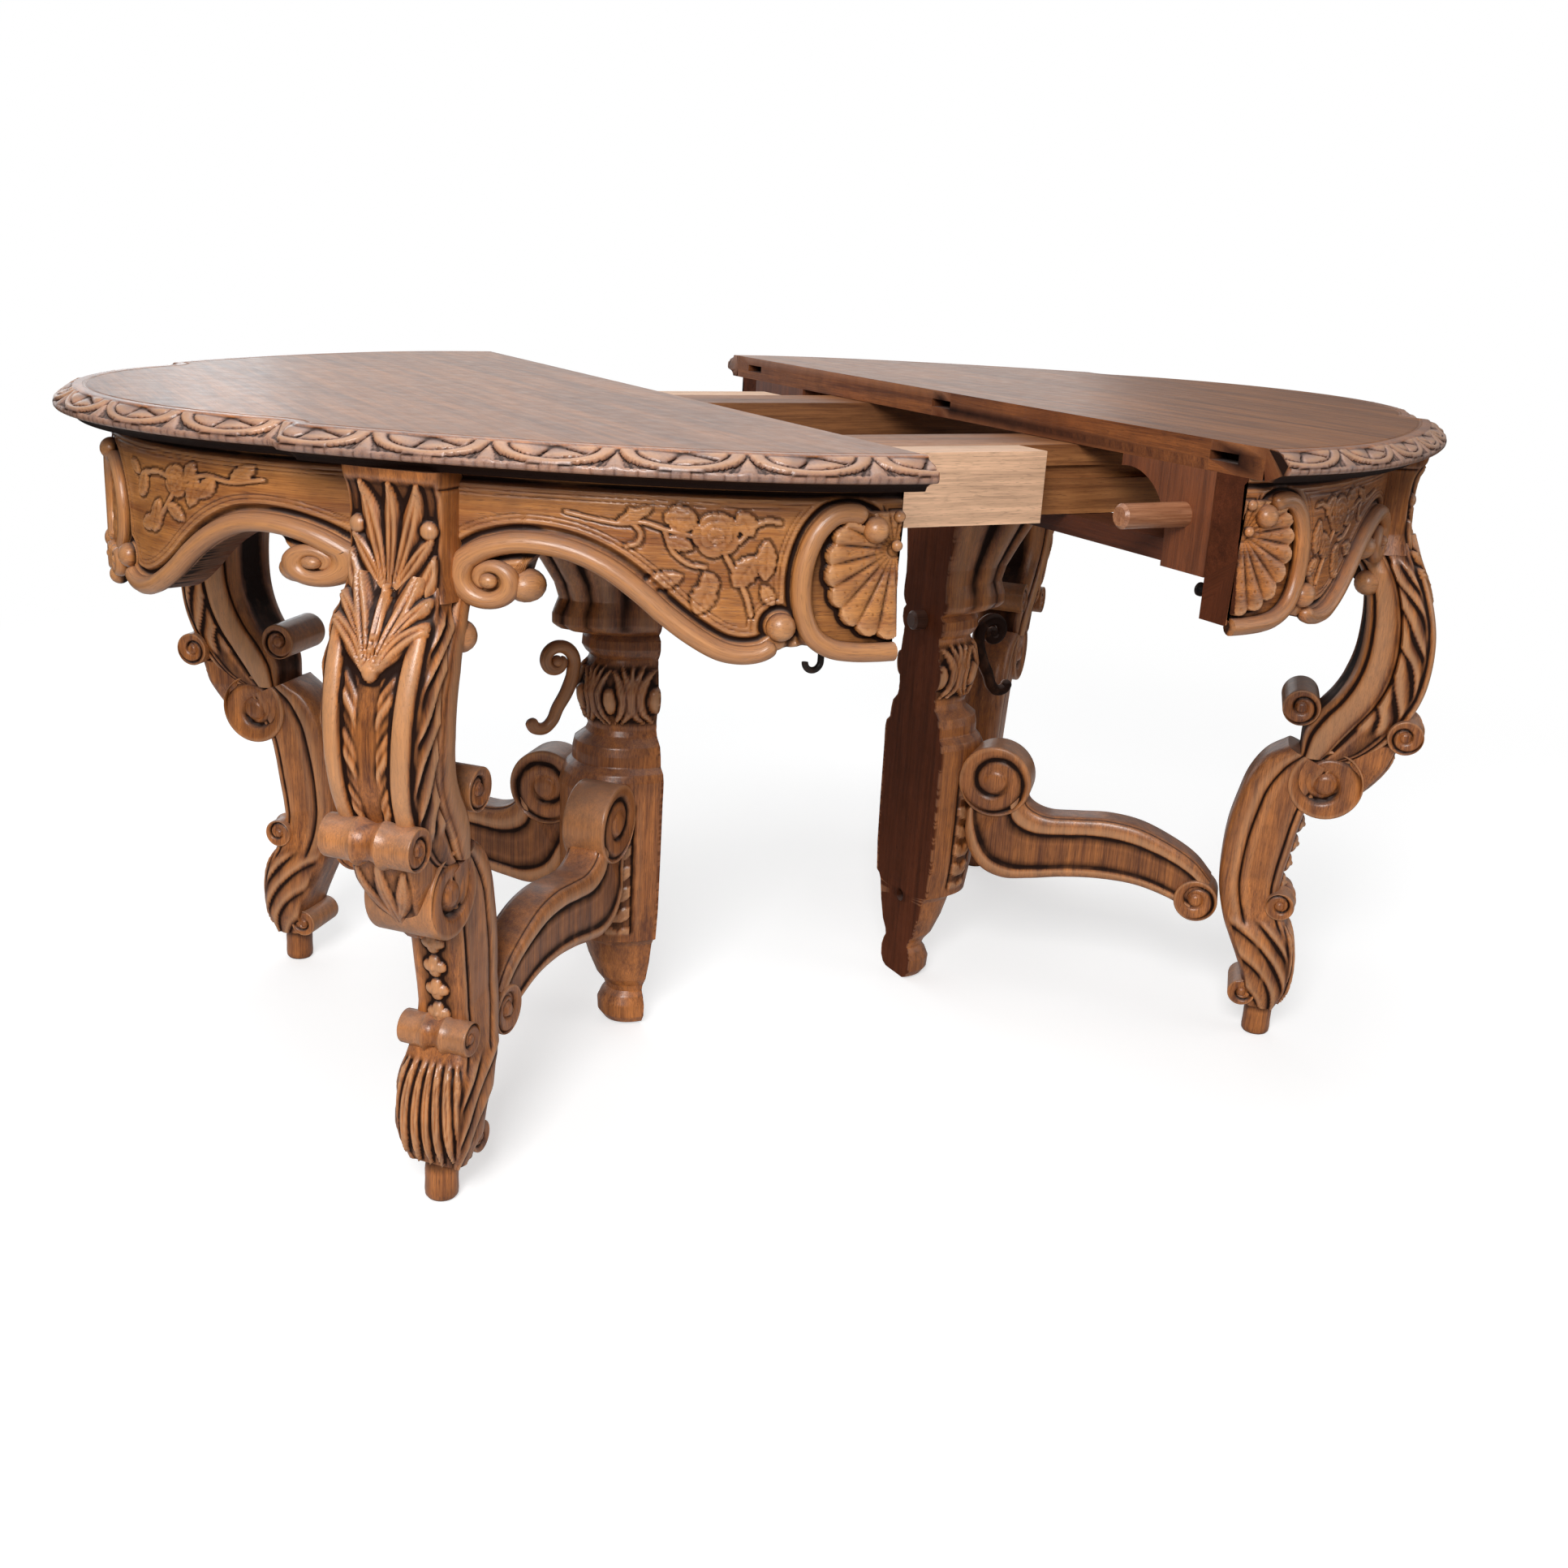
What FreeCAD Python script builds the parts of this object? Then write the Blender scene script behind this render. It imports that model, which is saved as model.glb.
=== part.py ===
import FreeCAD, Part
import math
import os
import Sketcher

# Extending dining table with a carved oval top in two halves, drawn 380 mm apart on wooden slides.
# Millimetres. X runs along the slides, front is -Y, Z is up, and the floor is Z = 0.
# Each half is drawn in its own frame: u runs outwards from its split plane, and v across the table.
# The right half keeps that frame, and the left half is the same frame turned half round.

SIZES = {
    # the table as a whole
    "table_height": 760.0,
    "split_gap": 380.0,
    "half_length": 605.0,
    "half_width": 565.0,
    # the top board and its carved edge
    "top_thick": 30.0,
    "nose_out": 20.0,
    "nose_drop": 14.0,
    "tenon_wide": 38.0,
    "tenon_thick": 7.0,
    "tenon_out": 14.0,
    "mortise_deep": 22.0,
    "mortise_clear": 1.0,
    "mortise_inset": 70.0,
    # the aprons
    "apron_inset": 33.0,
    "apron_thick": 42.0,
    "apron_drop": 152.0,
    "apron_arch": 60.0,
    "apron_lobe": 6.0,
    # the legs, in the upright plane from the column through the foot
    "leg_angle": 42.75,
    "block_out": 76.0,
    "block_in": 9.0,
    "block_wide": 92.0,
    "block_drop": 118.0,
    "knee_bulge": 36.0,
    "knee_wide": 110.0,
    "roll_radius": 21.0,
    "block_mould": 8.5,
    "leg_foot": 38.0,
    "peg_radius": 17.0,
    "peg_edge": 2.0,
    # the stretchers
    "stretcher_wide": 52.0,
    "stretcher_start": 75.0,
    "volute_radius": 46.0,
    "end_scroll": 27.0,
    "tenon_deep": 16.0,
    "tenon_side": 20.0,
    "tenon_tall": 24.0,
    "joint_clear": 0.2,
    # the half columns
    "column_half_wide": 68.0,
    "column_deep": 98.0,
    "column_dowel": 12.0,
    "column_dowel_out": 18.0,
    "column_dowel_in": 30.0,
    "column_pin": 7.0,
    "dowel_clear": 1.0,
    "handle_radius": 7.0,
    # what joins each half at the split
    "rail_wide": 60.0,
    "rail_thick": 22.0,
    "bracket_thick": 28.0,
    "bracket_edge": 218.0,
    "bracket_step": 141.0,
    "bracket_drop": 103.0,
    "bracket_cove": 12.0,
    "guide_dowel": 12.5,
    "guide_dowel_out": 80.0,
    "guide_dowel_inset": 116.0,
    "guide_dowel_drop": 47.0,
    "guide_fit": 0.05,
    # the telescoping slides, three members on each side
    "slide_tall": 74.4,
    "slide_thick": 50.0,
    "slide_inset": 246.5,
    "slide_gap": 0.4,
    "slide_under": 0.6,
    "seat_start": 70.0,
    "outer_clear": 42.7,
    "outer_reach": 305.0,
    "inner_clear": 13.5,
    "inner_reach": 415.0,
    "middle_length": 680.0,
    "key_tall": 14.0,
    "key_deep": 8.0,
    "key_clear": 0.3,
    "key_drop": 30.0,
    "screw_shank": 2.5,
    "screw_head": 5.0,
    "screw_cone": 4.0,
    "screw_bite": 15.0,
    "screw_sink": 0.3,
    "screw_pitch": 105.0,
    # the iron hooks that hold the closed table
    "hook_wire": 3.0,
    "hook_drop": 52.0,
    "hook_curl": 8.0,
    "hook_inset": 40.0,
    "hook_below": 110.0,
    "hook_ring": 9.0,
    "hook_eye": 7.0,
    "hook_bore": 4.0,
    "hook_fit": 0.05,
    "hook_stand": 8.0,
    "hook_screw_head": 7.0,
    "hook_head_thick": 3.0,
    "hook_bite": 12.0,
    "hook_peg_place": 12.0,
    "hook_peg": 3.0,
    "overrun": 10.0,
}

# Points of the top's plan, as shares of half_length and half_width, from the split to the notch.
PLAN_SHARES = [
    (0.000, 1.000),
    (0.165, 0.977),
    (0.331, 0.908),
    (0.562, 0.752),
    (0.769, 0.558),
    (0.766, 0.520),
    (0.788, 0.487),
]

# Front view of the long apron's lower edge: place as a share of its run from the split to the
# leg, and height above its lowest line as a share of apron_arch.
ARCH_SHARES = [
    (0.000, 0.05),
    (0.120, 0.00),
    (0.215, 0.10),
    (0.320, -0.06),
    (0.440, 0.12),
    (0.560, 0.54),
    (0.680, 1.12),
    (0.790, 1.36),
    (0.880, 1.18),
    (0.935, 0.62),
    (1.000, 0.45),
]

# The same for half of the end apron, from its middle to the leg.
END_ARCH_SHARES = [
    (0.000, -0.10),
    (0.100, -0.06),
    (0.200, 0.06),
    (0.330, -0.04),
    (0.470, 0.20),
    (0.680, 1.05),
    (0.860, 1.25),
    (0.930, 0.72),
    (1.000, 0.55),
]

# Half-round sections of the half column: height as a share of its top, half width as a share of
# column_half_wide, and depth as a share of column_deep.
COLUMN_SHARES = [
    (0.000, 0.37, 0.33),
    (0.016, 0.48, 0.42),
    (0.046, 0.50, 0.44),
    (0.070, 0.40, 0.35),
    (0.092, 0.52, 0.46),
    (0.182, 0.72, 0.64),
    (0.196, 0.88, 0.88),
    (0.262, 0.97, 0.95),
    (0.475, 1.00, 0.99),
    (0.522, 0.99, 0.91),
    (0.545, 0.86, 0.84),
    (0.573, 0.86, 0.88),
    (0.588, 0.66, 0.69),
    (0.609, 0.64, 0.68),
    (0.672, 0.67, 0.80),
    (0.731, 0.61, 0.67),
    (0.744, 0.69, 0.76),
    (0.767, 0.69, 0.76),
    (0.778, 0.61, 0.78),
    (0.854, 0.66, 1.08),
    (0.886, 0.69, 1.26),
    (0.949, 0.81, 1.55),
    (1.000, 0.88, 1.73),
]

# Front view of a leg: height as a share of the block's underside, and half width as a share of
# half the knee's width.
LEG_WIDTH_SHARES = [
    (1.000, 0.836),
    (0.950, 1.000),
    (0.820, 0.990),
    (0.720, 0.800),
    (0.700, 0.836),
    (0.640, 0.836),
    (0.560, 0.640),
    (0.350, 0.527),
    (0.325, 0.655),
    (0.270, 0.655),
    (0.180, 0.655),
    (0.062, 0.440),
]

# A leg's foot stands this share of the half length and half width together out from the column.
LEG_REACH_SHARE = 0.396581
# Heights on the legs and stretchers, as shares of the leg block's underside.
ROLL_SHARE = 0.669935
VOLUTE_SHARE = 0.473856
END_SCROLL_SHARE = 0.277778
# Heights of the dowels between the columns, as shares of the column's top.
COLUMN_HIGH_SHARES = {"column_dowel": 0.759013, "column_pin": 0.173941}

doc = FreeCAD.newDocument("extending_table")
sheet = doc.addObject("Spreadsheet::Sheet", "Sizes")
for row, (alias, number) in enumerate(SIZES.items(), start=1):
    sheet.set(f"A{row}", alias)
    sheet.set(f"B{row}", str(number))
    sheet.setAlias(f"B{row}", alias)
doc.recompute()

V = FreeCAD.Vector
UP = V(0, 0, 1)
TABLE_HEIGHT = SIZES["table_height"]
TOP_UNDER = TABLE_HEIGHT - SIZES["top_thick"]
SLIDE_TOP = TOP_UNDER - SIZES["slide_under"]
SLIDE_LOW = SLIDE_TOP - SIZES["slide_tall"]
RAIL_TOP = SLIDE_LOW - SIZES["slide_under"]
APRON_LOW = TOP_UNDER - SIZES["apron_drop"]
BLOCK_LOW = TOP_UNDER - SIZES["block_drop"]
COLUMN_TOP = RAIL_TOP - SIZES["rail_thick"]
LEG_REACH = (SIZES["half_length"] + SIZES["half_width"]) * LEG_REACH_SHARE
HOOK_HIGH = TOP_UNDER - SIZES["hook_below"]
LEG_ANGLE = math.radians(SIZES["leg_angle"])
TOP_UNDER_TEXT = "Sizes.table_height - Sizes.top_thick"
SLIDE_LOW_TEXT = f"{TOP_UNDER_TEXT} - Sizes.slide_under - Sizes.slide_tall"
RAIL_LOW_TEXT = f"{SLIDE_LOW_TEXT} - Sizes.slide_under - Sizes.rail_thick"
BLOCK_LOW_TEXT = f"({TOP_UNDER_TEXT} - Sizes.block_drop)"
VOLUTE_TEXT = f"{BLOCK_LOW_TEXT} * {VOLUTE_SHARE}"
END_SCROLL_TEXT = f"{BLOCK_LOW_TEXT} * {END_SCROLL_SHARE}"
LEG_REACH_TEXT = f"(Sizes.half_length + Sizes.half_width) * {LEG_REACH_SHARE}"
KEY_TEXT = f"{TOP_UNDER_TEXT} - Sizes.key_drop"
BRACKET_STEP_TEXT = "(Sizes.half_width - Sizes.bracket_step)"
MORTISE_TEXT = "(Sizes.half_width - Sizes.mortise_inset)"
NODES = []


# Document helpers


def new_body(label, side=0, turn="0"):
    """A body in a half's frame: side is 1 for the right half, -1 for the left, 0 for neither."""
    body = doc.addObject("PartDesign::Body", label)
    body.Label = label
    if side > 0:
        body.setExpression("Placement.Base.x", "Sizes.split_gap / 2")
        body.setExpression("Placement.Rotation.Angle", turn)
    if side < 0:
        body.setExpression("Placement.Base.x", "-Sizes.split_gap / 2")
        body.setExpression("Placement.Rotation.Angle", f"180 + {turn}")
    NODES.append(body)
    return body


def new_sketch(body, role, name, lift=""):
    """A sketch on one of the body's own origin planes, lifted along its normal if asked."""
    sketch = body.newObject("Sketcher::SketchObject", name)
    plane = [o for o in body.Origin.OriginFeatures if o.Role == role][0]
    sketch.AttachmentSupport = [(plane, "")]
    sketch.MapMode = "FlatFace"
    if lift:
        sketch.setExpression("AttachmentOffset.Base.z", lift)
    return sketch


def draw(sketch, start, steps):
    """Draws a closed outline: each step is an end point, or a point on an arc and its end point."""
    here = start
    for step in steps:
        here_vector = V(here[0], here[1], 0)
        end = step[-1] if isinstance(step[0], tuple) else step
        end_vector = V(end[0], end[1], 0)
        if isinstance(step[0], tuple):
            through = V(step[0][0], step[0][1], 0)
            sketch.addGeometry(Part.Arc(here_vector, through, end_vector), False)
        else:
            sketch.addGeometry(Part.LineSegment(here_vector, end_vector), False)
        here = end


def draw_circle(sketch, centre, size_name, extra=""):
    """Draws a circle whose radius is bound to the sheet, with an allowance if asked."""
    place = V(centre[0], centre[1], 0)
    index = sketch.addGeometry(Part.Circle(place, UP, SIZES[size_name]), False)
    radius = sketch.addConstraint(Sketcher.Constraint("Radius", index, SIZES[size_name]))
    sketch.setExpression(f"Constraints[{radius}]", f"Sizes.{size_name}{extra}")


def pad(body, sketch, name, length, symmetric=False, back=False):
    """A pad whose length is an expression of the sheet."""
    feature = body.newObject("PartDesign::Pad", name)
    feature.Profile = sketch
    feature.setExpression("Length", length)
    if symmetric:
        feature.SideType = "Symmetric"
    feature.Reversed = back
    doc.recompute()
    return feature


def pocket(body, sketch, name, length, back=False):
    """A pocket that has to take some material away."""
    before = body.Shape.Volume
    feature = body.newObject("PartDesign::Pocket", name)
    feature.Profile = sketch
    feature.setExpression("Length", length)
    feature.Reversed = back
    doc.recompute()
    if not body.Shape.Volume < before:
        raise RuntimeError(f"{body.Label}: {name} cuts nothing")
    return feature


def block(body, kind, name, sizes, low):
    """An additive or subtractive box: three length expressions, and its low corner's three."""
    feature = body.newObject(f"PartDesign::{kind}Box", name)
    for axis, length in zip(("Length", "Width", "Height"), sizes):
        feature.setExpression(axis, length)
    for axis, place in zip("xyz", low):
        feature.setExpression(f"Placement.Base.{axis}", place)
    doc.recompute()
    return feature


# Plan geometry


def circle_through(first, middle, last):
    """Centre and radius of the circle through three points of the plan."""
    circle = Part.Arc(V(*first, 0), V(*middle, 0), V(*last, 0)).toShape().Curve
    return (circle.Center.x, circle.Center.y), circle.Radius


def plan_points(out):
    """The plan's points from the split to the notch, each moved out along the local normal."""
    spots = [(a * SIZES["half_length"], b * SIZES["half_width"]) for a, b in PLAN_SHARES]
    spots.append(end_point(0, 0.5))
    moved = [(0, spots[0][1] + out)]
    for before, spot, after in zip(spots, spots[1:], spots[2:]):
        du = after[0] - before[0]
        dv = after[1] - before[1]
        run = math.hypot(du, dv)
        moved.append((spot[0] - out * dv / run, spot[1] + out * du / run))
    return moved


def end_circle():
    """Centre on the u axis and radius of the top's end curve, through its tip and the notch."""
    notch_u = PLAN_SHARES[-1][0] * SIZES["half_length"]
    notch_v = PLAN_SHARES[-1][1] * SIZES["half_width"]
    run = SIZES["half_length"] - notch_u
    radius = (run * run + notch_v * notch_v) / (2 * run)
    return SIZES["half_length"] - radius, radius


def end_point(out, share):
    """A point of the end curve: share 0 is the tip and share 1 the notch."""
    centre, radius = end_circle()
    notch_v = PLAN_SHARES[-1][1] * SIZES["half_width"]
    angle = share * math.asin(notch_v / radius)
    return centre + (radius + out) * math.cos(angle), (radius + out) * math.sin(angle)


def meet(circle, offset, side):
    """Where a circle crosses the line beside a leg's plane at that offset, furthest out."""
    (cu, cv), radius = circle
    normal = (-math.sin(LEG_ANGLE), math.cos(LEG_ANGLE))
    along = (math.cos(LEG_ANGLE), math.sin(LEG_ANGLE))
    away = side * offset - cu * normal[0] - cv * normal[1]
    half_chord = math.sqrt(radius * radius - away * away)
    u = cu + away * normal[0] + half_chord * along[0]
    v = cv + away * normal[1] + half_chord * along[1]
    return u, v


def on_arc(circle, first, last):
    """The middle of the shorter arc between two points of a circle."""
    (cu, cv), radius = circle
    mid_u = (first[0] + last[0]) / 2 - cu
    mid_v = (first[1] + last[1]) / 2 - cv
    run = math.hypot(mid_u, mid_v)
    return cu + radius * mid_u / run, cv + radius * mid_v / run


def side_curve(inset):
    """The long apron's face at that inset: split, swell, shoulder, a middle point, and its end."""
    points = plan_points(-inset)
    circle = circle_through(points[2], points[3], points[4])
    last = meet(circle, SIZES["block_wide"] / 2, 1)
    return [points[0], points[1], points[2], on_arc(circle, points[2], last), last]


def split_width(inset, u):
    """Half the width at that inset and distance from the split."""
    points = plan_points(-inset)
    (cu, cv), radius = circle_through(points[0], points[1], points[2])
    return cv + math.sqrt(radius * radius - (u - cu) * (u - cu))


# The top


def top_outline(sketch, out):
    """Draws the whole plan of a half top, both sides of the u axis."""
    right = plan_points(out)
    middle = end_point(out, 0.5)
    tip = end_point(out, 0)
    notch = right[6]
    low = [(u, -v) for u, v in right]
    steps = [
        (right[1], right[2]),
        (right[3], right[4]),
        (right[5], notch),
        (middle, tip),
        ((middle[0], -middle[1]), low[6]),
        (low[5], low[4]),
        (low[3], low[2]),
        (low[1], low[0]),
        right[0],
    ]
    draw(sketch, right[0], steps)


def make_top(label, side):
    body = new_body(label, side)
    band = new_sketch(body, "XY_Plane", label + "_nose_plan", TOP_UNDER_TEXT)
    top_outline(band, SIZES["nose_out"])
    pad(body, band, label + "_board", "Sizes.top_thick - Sizes.nose_drop")
    low = new_sketch(body, "XY_Plane", label + "_edge_low", "Sizes.table_height - Sizes.nose_drop")
    top_outline(low, SIZES["nose_out"])
    high = new_sketch(body, "XY_Plane", label + "_edge_high", "Sizes.table_height")
    top_outline(high, 0)
    edge = body.newObject("PartDesign::AdditiveLoft", label + "_edge")
    edge.Profile = low
    edge.Sections = [high]
    edge.Ruled = True
    doc.recompute()
    for number, place in enumerate((f"-{MORTISE_TEXT}", "0", MORTISE_TEXT)):
        block(
            body,
            "Subtractive",
            f"{label}_mortise_{number}",
            (
                "Sizes.mortise_deep + Sizes.overrun",
                "Sizes.tenon_wide + 2 * Sizes.mortise_clear",
                "Sizes.tenon_thick + 2 * Sizes.mortise_clear",
            ),
            (
                "-Sizes.overrun",
                f"{place} - Sizes.tenon_wide / 2 - Sizes.mortise_clear",
                "Sizes.table_height - Sizes.top_thick / 2 + Sizes.joint_clear"
                " - Sizes.tenon_thick / 2 - Sizes.mortise_clear",
            ),
        )
    return body


def make_tenons():
    """Three loose tenons in the left top's split face, one node of three solids."""
    parts = []
    mortise = SIZES["half_width"] - SIZES["mortise_inset"]
    for place in (-mortise, 0, mortise):
        box = doc.addObject("Part::Box", "tenon")
        box.setExpression("Length", "Sizes.mortise_deep + Sizes.tenon_out")
        box.setExpression("Width", "Sizes.tenon_wide")
        box.setExpression("Height", "Sizes.tenon_thick")
        low = V(
            -SIZES["split_gap"] / 2 - SIZES["mortise_deep"],
            place - SIZES["tenon_wide"] / 2,
            TABLE_HEIGHT - SIZES["top_thick"] / 2 + SIZES["joint_clear"] - SIZES["tenon_thick"] / 2,
        )
        box.Placement.Base = low
        parts.append(box)
    group(parts, "top_tenons")


def group(parts, label):
    """Several separate solids that share a node."""
    doc.recompute()
    node = doc.addObject("Part::Compound", label)
    node.Links = parts
    node.Label = label
    doc.recompute()
    NODES.append(node)
    return node


# The aprons


def arch_steps(shares, first, last):
    """Lower edge of an apron, from its first place to its last, as arcs through the shares."""
    spots = []
    for place, rise in shares:
        along = first + (last - first) * place
        spots.append((along, APRON_LOW + SIZES["apron_lobe"] + SIZES["apron_arch"] * rise))
    return spots[0], list(zip(spots[1::2], spots[2::2]))


def make_side_apron(label, side, hand):
    """A long apron: its curved plan, cut along its lower edge in front view."""
    body = new_body(label, side)
    outer = side_curve(SIZES["apron_inset"])
    inner = side_curve(SIZES["apron_inset"] + SIZES["apron_thick"])
    out = [(u, hand * v) for u, v in outer]
    back = [(u, hand * v) for u, v in inner]
    plan = new_sketch(body, "XY_Plane", label + "_plan", TOP_UNDER_TEXT)
    steps = [
        (out[1], out[2]),
        (out[3], out[4]),
        back[4],
        (back[3], back[2]),
        (back[1], back[0]),
        out[0],
    ]
    draw(plan, out[0], steps)
    pad(body, plan, label + "_board", "Sizes.apron_drop", back=True)
    edge = new_sketch(body, "XZ_Plane", label + "_edge")
    under = APRON_LOW - SIZES["overrun"]
    first, arcs = arch_steps(ARCH_SHARES, 0, outer[4][0])
    start = (-SIZES["overrun"], first[1])
    after = (outer[4][0] + SIZES["overrun"], arcs[-1][1][1])
    draw(edge, start, [first] + arcs + [after, (after[0], under), (start[0], under), start])
    pocket(body, edge, label + "_arch", "Sizes.half_width + Sizes.overrun", back=hand < 0)
    return body


def make_end_apron(label, side):
    body = new_body(label, side)
    centre, radius = end_circle()
    rims = []
    for inset in (SIZES["apron_inset"], SIZES["apron_inset"] + SIZES["apron_thick"]):
        circle = ((centre, 0), radius - inset)
        corner = meet(circle, SIZES["block_wide"] / 2, -1)
        rims.append((corner, centre + radius - inset))
    (far, face), (near, rear) = rims
    plan = new_sketch(body, "XY_Plane", label + "_plan", TOP_UNDER_TEXT)
    steps = [
        ((face, 0), (far[0], -far[1])),
        (near[0], -near[1]),
        ((rear, 0), near),
        far,
    ]
    draw(plan, far, steps)
    pad(body, plan, label + "_board", "Sizes.apron_drop", back=True)
    edge = new_sketch(body, "YZ_Plane", label + "_edge")
    under = APRON_LOW - SIZES["overrun"]
    middle, right = arch_steps(END_ARCH_SHARES, 0, far[1])
    ends = [middle] + [end for through, end in right]
    left = [
        ((-through[0], through[1]), (-end[0], end[1]))
        for (through, last), end in zip(reversed(right), reversed(ends[:-1]))
    ]
    after = (ends[-1][0] + SIZES["overrun"], ends[-1][1])
    start = (-after[0], after[1])
    first = (-ends[-1][0], ends[-1][1])
    steps = [first] + left + right + [after, (after[0], under), (start[0], under), start]
    draw(edge, start, steps)
    pocket(body, edge, label + "_arch", "Sizes.half_length + Sizes.overrun", back=True)
    return body


# The legs


def leg_outline(sketch):
    """Side view of a leg: a moulded block, a C-shaped knee, and an S-shaped shank with a toe."""
    foot = LEG_REACH
    out = foot + SIZES["block_out"]
    inner = foot - SIZES["block_in"]
    low = BLOCK_LOW
    sole = SIZES["leg_foot"]
    roll = SIZES["roll_radius"]
    roll_z = BLOCK_LOW * ROLL_SHARE
    bulge = SIZES["knee_bulge"]
    shank = roll_z - sole
    knee = low - roll_z
    flare = SIZES["block_mould"]
    roll_r = out + bulge - roll / 5
    steps = [
        ((out + flare / 2, TOP_UNDER - flare * 2), (out, TOP_UNDER - flare * 5)),
        (out, low + roll),
        ((out + bulge * 0.5, low - knee * 0.1), (out + bulge, low - knee * 0.42)),
        ((out + bulge * 1.05, low - knee * 0.62), (roll_r + roll * 0.3, roll_z + roll)),
        ((roll_r + roll, roll_z), (roll_r, roll_z - roll)),
        (roll_r - roll, roll_z - roll * 1.1),
        ((out + roll * 0.1, roll_z - shank * 0.2), (foot + roll * 1.7, roll_z - shank * 0.29)),
        (foot + roll * 0.67, roll_z - shank * 0.285),
        ((foot + roll * 0.45, roll_z - shank * 0.4), (foot + roll * 0.2, sole + shank * 0.43)),
        ((foot + roll * 1.25, sole + shank * 0.385), (foot + roll * 0.45, sole + shank * 0.335)),
        ((foot + roll * 1.3, sole + shank * 0.16), (foot + roll * 0.9, sole)),
        (foot - roll * 1.3, sole),
        ((foot - roll * 1.95, sole + shank * 0.065), (foot - roll * 1.15, sole + shank * 0.11)),
        (foot - roll * 1.6, sole + shank * 0.185),
        ((foot - roll * 2.8, sole + shank * 0.3), (foot - roll * 3.35, sole + shank * 0.45)),
        ((foot - roll * 3.3, sole + shank * 0.7), (foot - roll * 2.0, sole + shank * 0.905)),
        (foot - roll * 1.0, roll_z),
        ((foot - roll * 1.25, roll_z + roll), (foot - roll * 0.2, roll_z + roll * 2)),
        (foot + roll * 0.9, roll_z + roll * 1.3),
        ((foot + roll * 2.5, low - knee * 0.5), (foot + roll * 1.7, low - roll * 0.3)),
        (inner, low),
        (inner, TOP_UNDER),
        (out + flare * 1.5, TOP_UNDER),
    ]
    draw(sketch, (out + flare * 1.5, TOP_UNDER), steps)


def make_leg(label, side, hand):
    body = new_body(label, side, "Sizes.leg_angle" if hand > 0 else "-Sizes.leg_angle")
    profile = new_sketch(body, "XZ_Plane", label + "_profile")
    leg_outline(profile)
    pad(body, profile, label + "_blank", "Sizes.knee_wide", symmetric=True)
    waste = new_sketch(body, "YZ_Plane", label + "_waste")
    wide = SIZES["knee_wide"] / 2
    for way in (1, -1):
        spots = [(way * SIZES["block_wide"] / 2, TOP_UNDER + SIZES["overrun"])]
        for high, share in LEG_WIDTH_SHARES:
            spots.append((way * wide * share, BLOCK_LOW * high))
        limit = way * (wide + SIZES["overrun"])
        spots.append((spots[-1][0], 0))
        steps = spots[1:] + [(limit, 0), (limit, spots[0][1]), spots[0]]
        draw(waste, spots[0], steps)
    pocket(body, waste, label + "_sides", "Sizes.half_length + Sizes.overrun", back=True)
    block(
        body,
        "Subtractive",
        label + "_mortise",
        (
            "Sizes.tenon_deep + Sizes.end_scroll",
            "Sizes.tenon_side + 2 * Sizes.joint_clear",
            "Sizes.tenon_tall + 2 * Sizes.joint_clear",
        ),
        (
            f"{STRETCHER_END_TEXT} - Sizes.end_scroll",
            "-Sizes.tenon_side / 2 - Sizes.joint_clear",
            f"{END_SCROLL_TEXT} - Sizes.tenon_tall / 2 - Sizes.joint_clear",
        ),
    )
    return body


def make_peg(label, side, hand):
    """The short turned peg under a leg."""
    body = new_body(label, side, "Sizes.leg_angle" if hand > 0 else "-Sizes.leg_angle")
    round_plan = new_sketch(body, "XY_Plane", label + "_round")
    draw_circle(round_plan, (LEG_REACH, 0), "peg_radius")
    turned = pad(body, round_plan, label + "_turned", "Sizes.leg_foot")
    rim = [
        f"Edge{number}"
        for number, edge in enumerate(turned.Shape.Edges, start=1)
        if edge.BoundBox.ZMax < SIZES["peg_edge"]
    ]
    edge = body.newObject("PartDesign::Chamfer", label + "_edge")
    edge.Base = (turned, rim)
    edge.setExpression("Size", "Sizes.peg_edge")
    doc.recompute()
    return body


# The stretchers

STRETCHER_END_SHARE = 3.16
STRETCHER_END_TEXT = f"{LEG_REACH_TEXT} - Sizes.roll_radius * {STRETCHER_END_SHARE}"


def stretcher_outline(sketch):
    """Side view of a stretcher: a volute at the column, an S-shaped bar and a small end scroll."""
    start = SIZES["stretcher_start"]
    big = SIZES["volute_radius"]
    big_r = start + big * 0.8
    big_z = BLOCK_LOW * VOLUTE_SHARE
    small = SIZES["end_scroll"]
    small_z = BLOCK_LOW * END_SCROLL_SHARE
    small_r = stretcher_end() - small
    run = small_r - big_r
    drop = big_z - small_z
    steps = [
        ((big_r + big * 0.2, big_z + big), (big_r + big, big_z + big * 0.1)),
        ((big_r + big * 0.95, big_z - big * 0.5), (big_r + big * 1.1, big_z - big * 0.85)),
        ((big_r + run * 0.5, big_z - drop * 0.25), (small_r - small * 0.6, small_z + small * 2.2)),
        ((small_r + small * 0.3, small_z + small * 1.45), (small_r + small, small_z)),
        ((small_r, small_z - small), (small_r - small * 1.1, small_z - small * 0.2)),
        ((small_r - run * 0.4, small_z + small * 0.3), (big_r + big * 1.2, small_z - small * 0.3)),
        ((big_r + big * 0.3, small_z - small * 0.45), (start, small_z + small * 0.25)),
        (start, big_z + big * 0.6),
    ]
    draw(sketch, (start, big_z + big * 0.6), steps)


def stretcher_end():
    """How far the end scroll reaches: up to the leg's inner curve."""
    return LEG_REACH - SIZES["roll_radius"] * STRETCHER_END_SHARE


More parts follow.
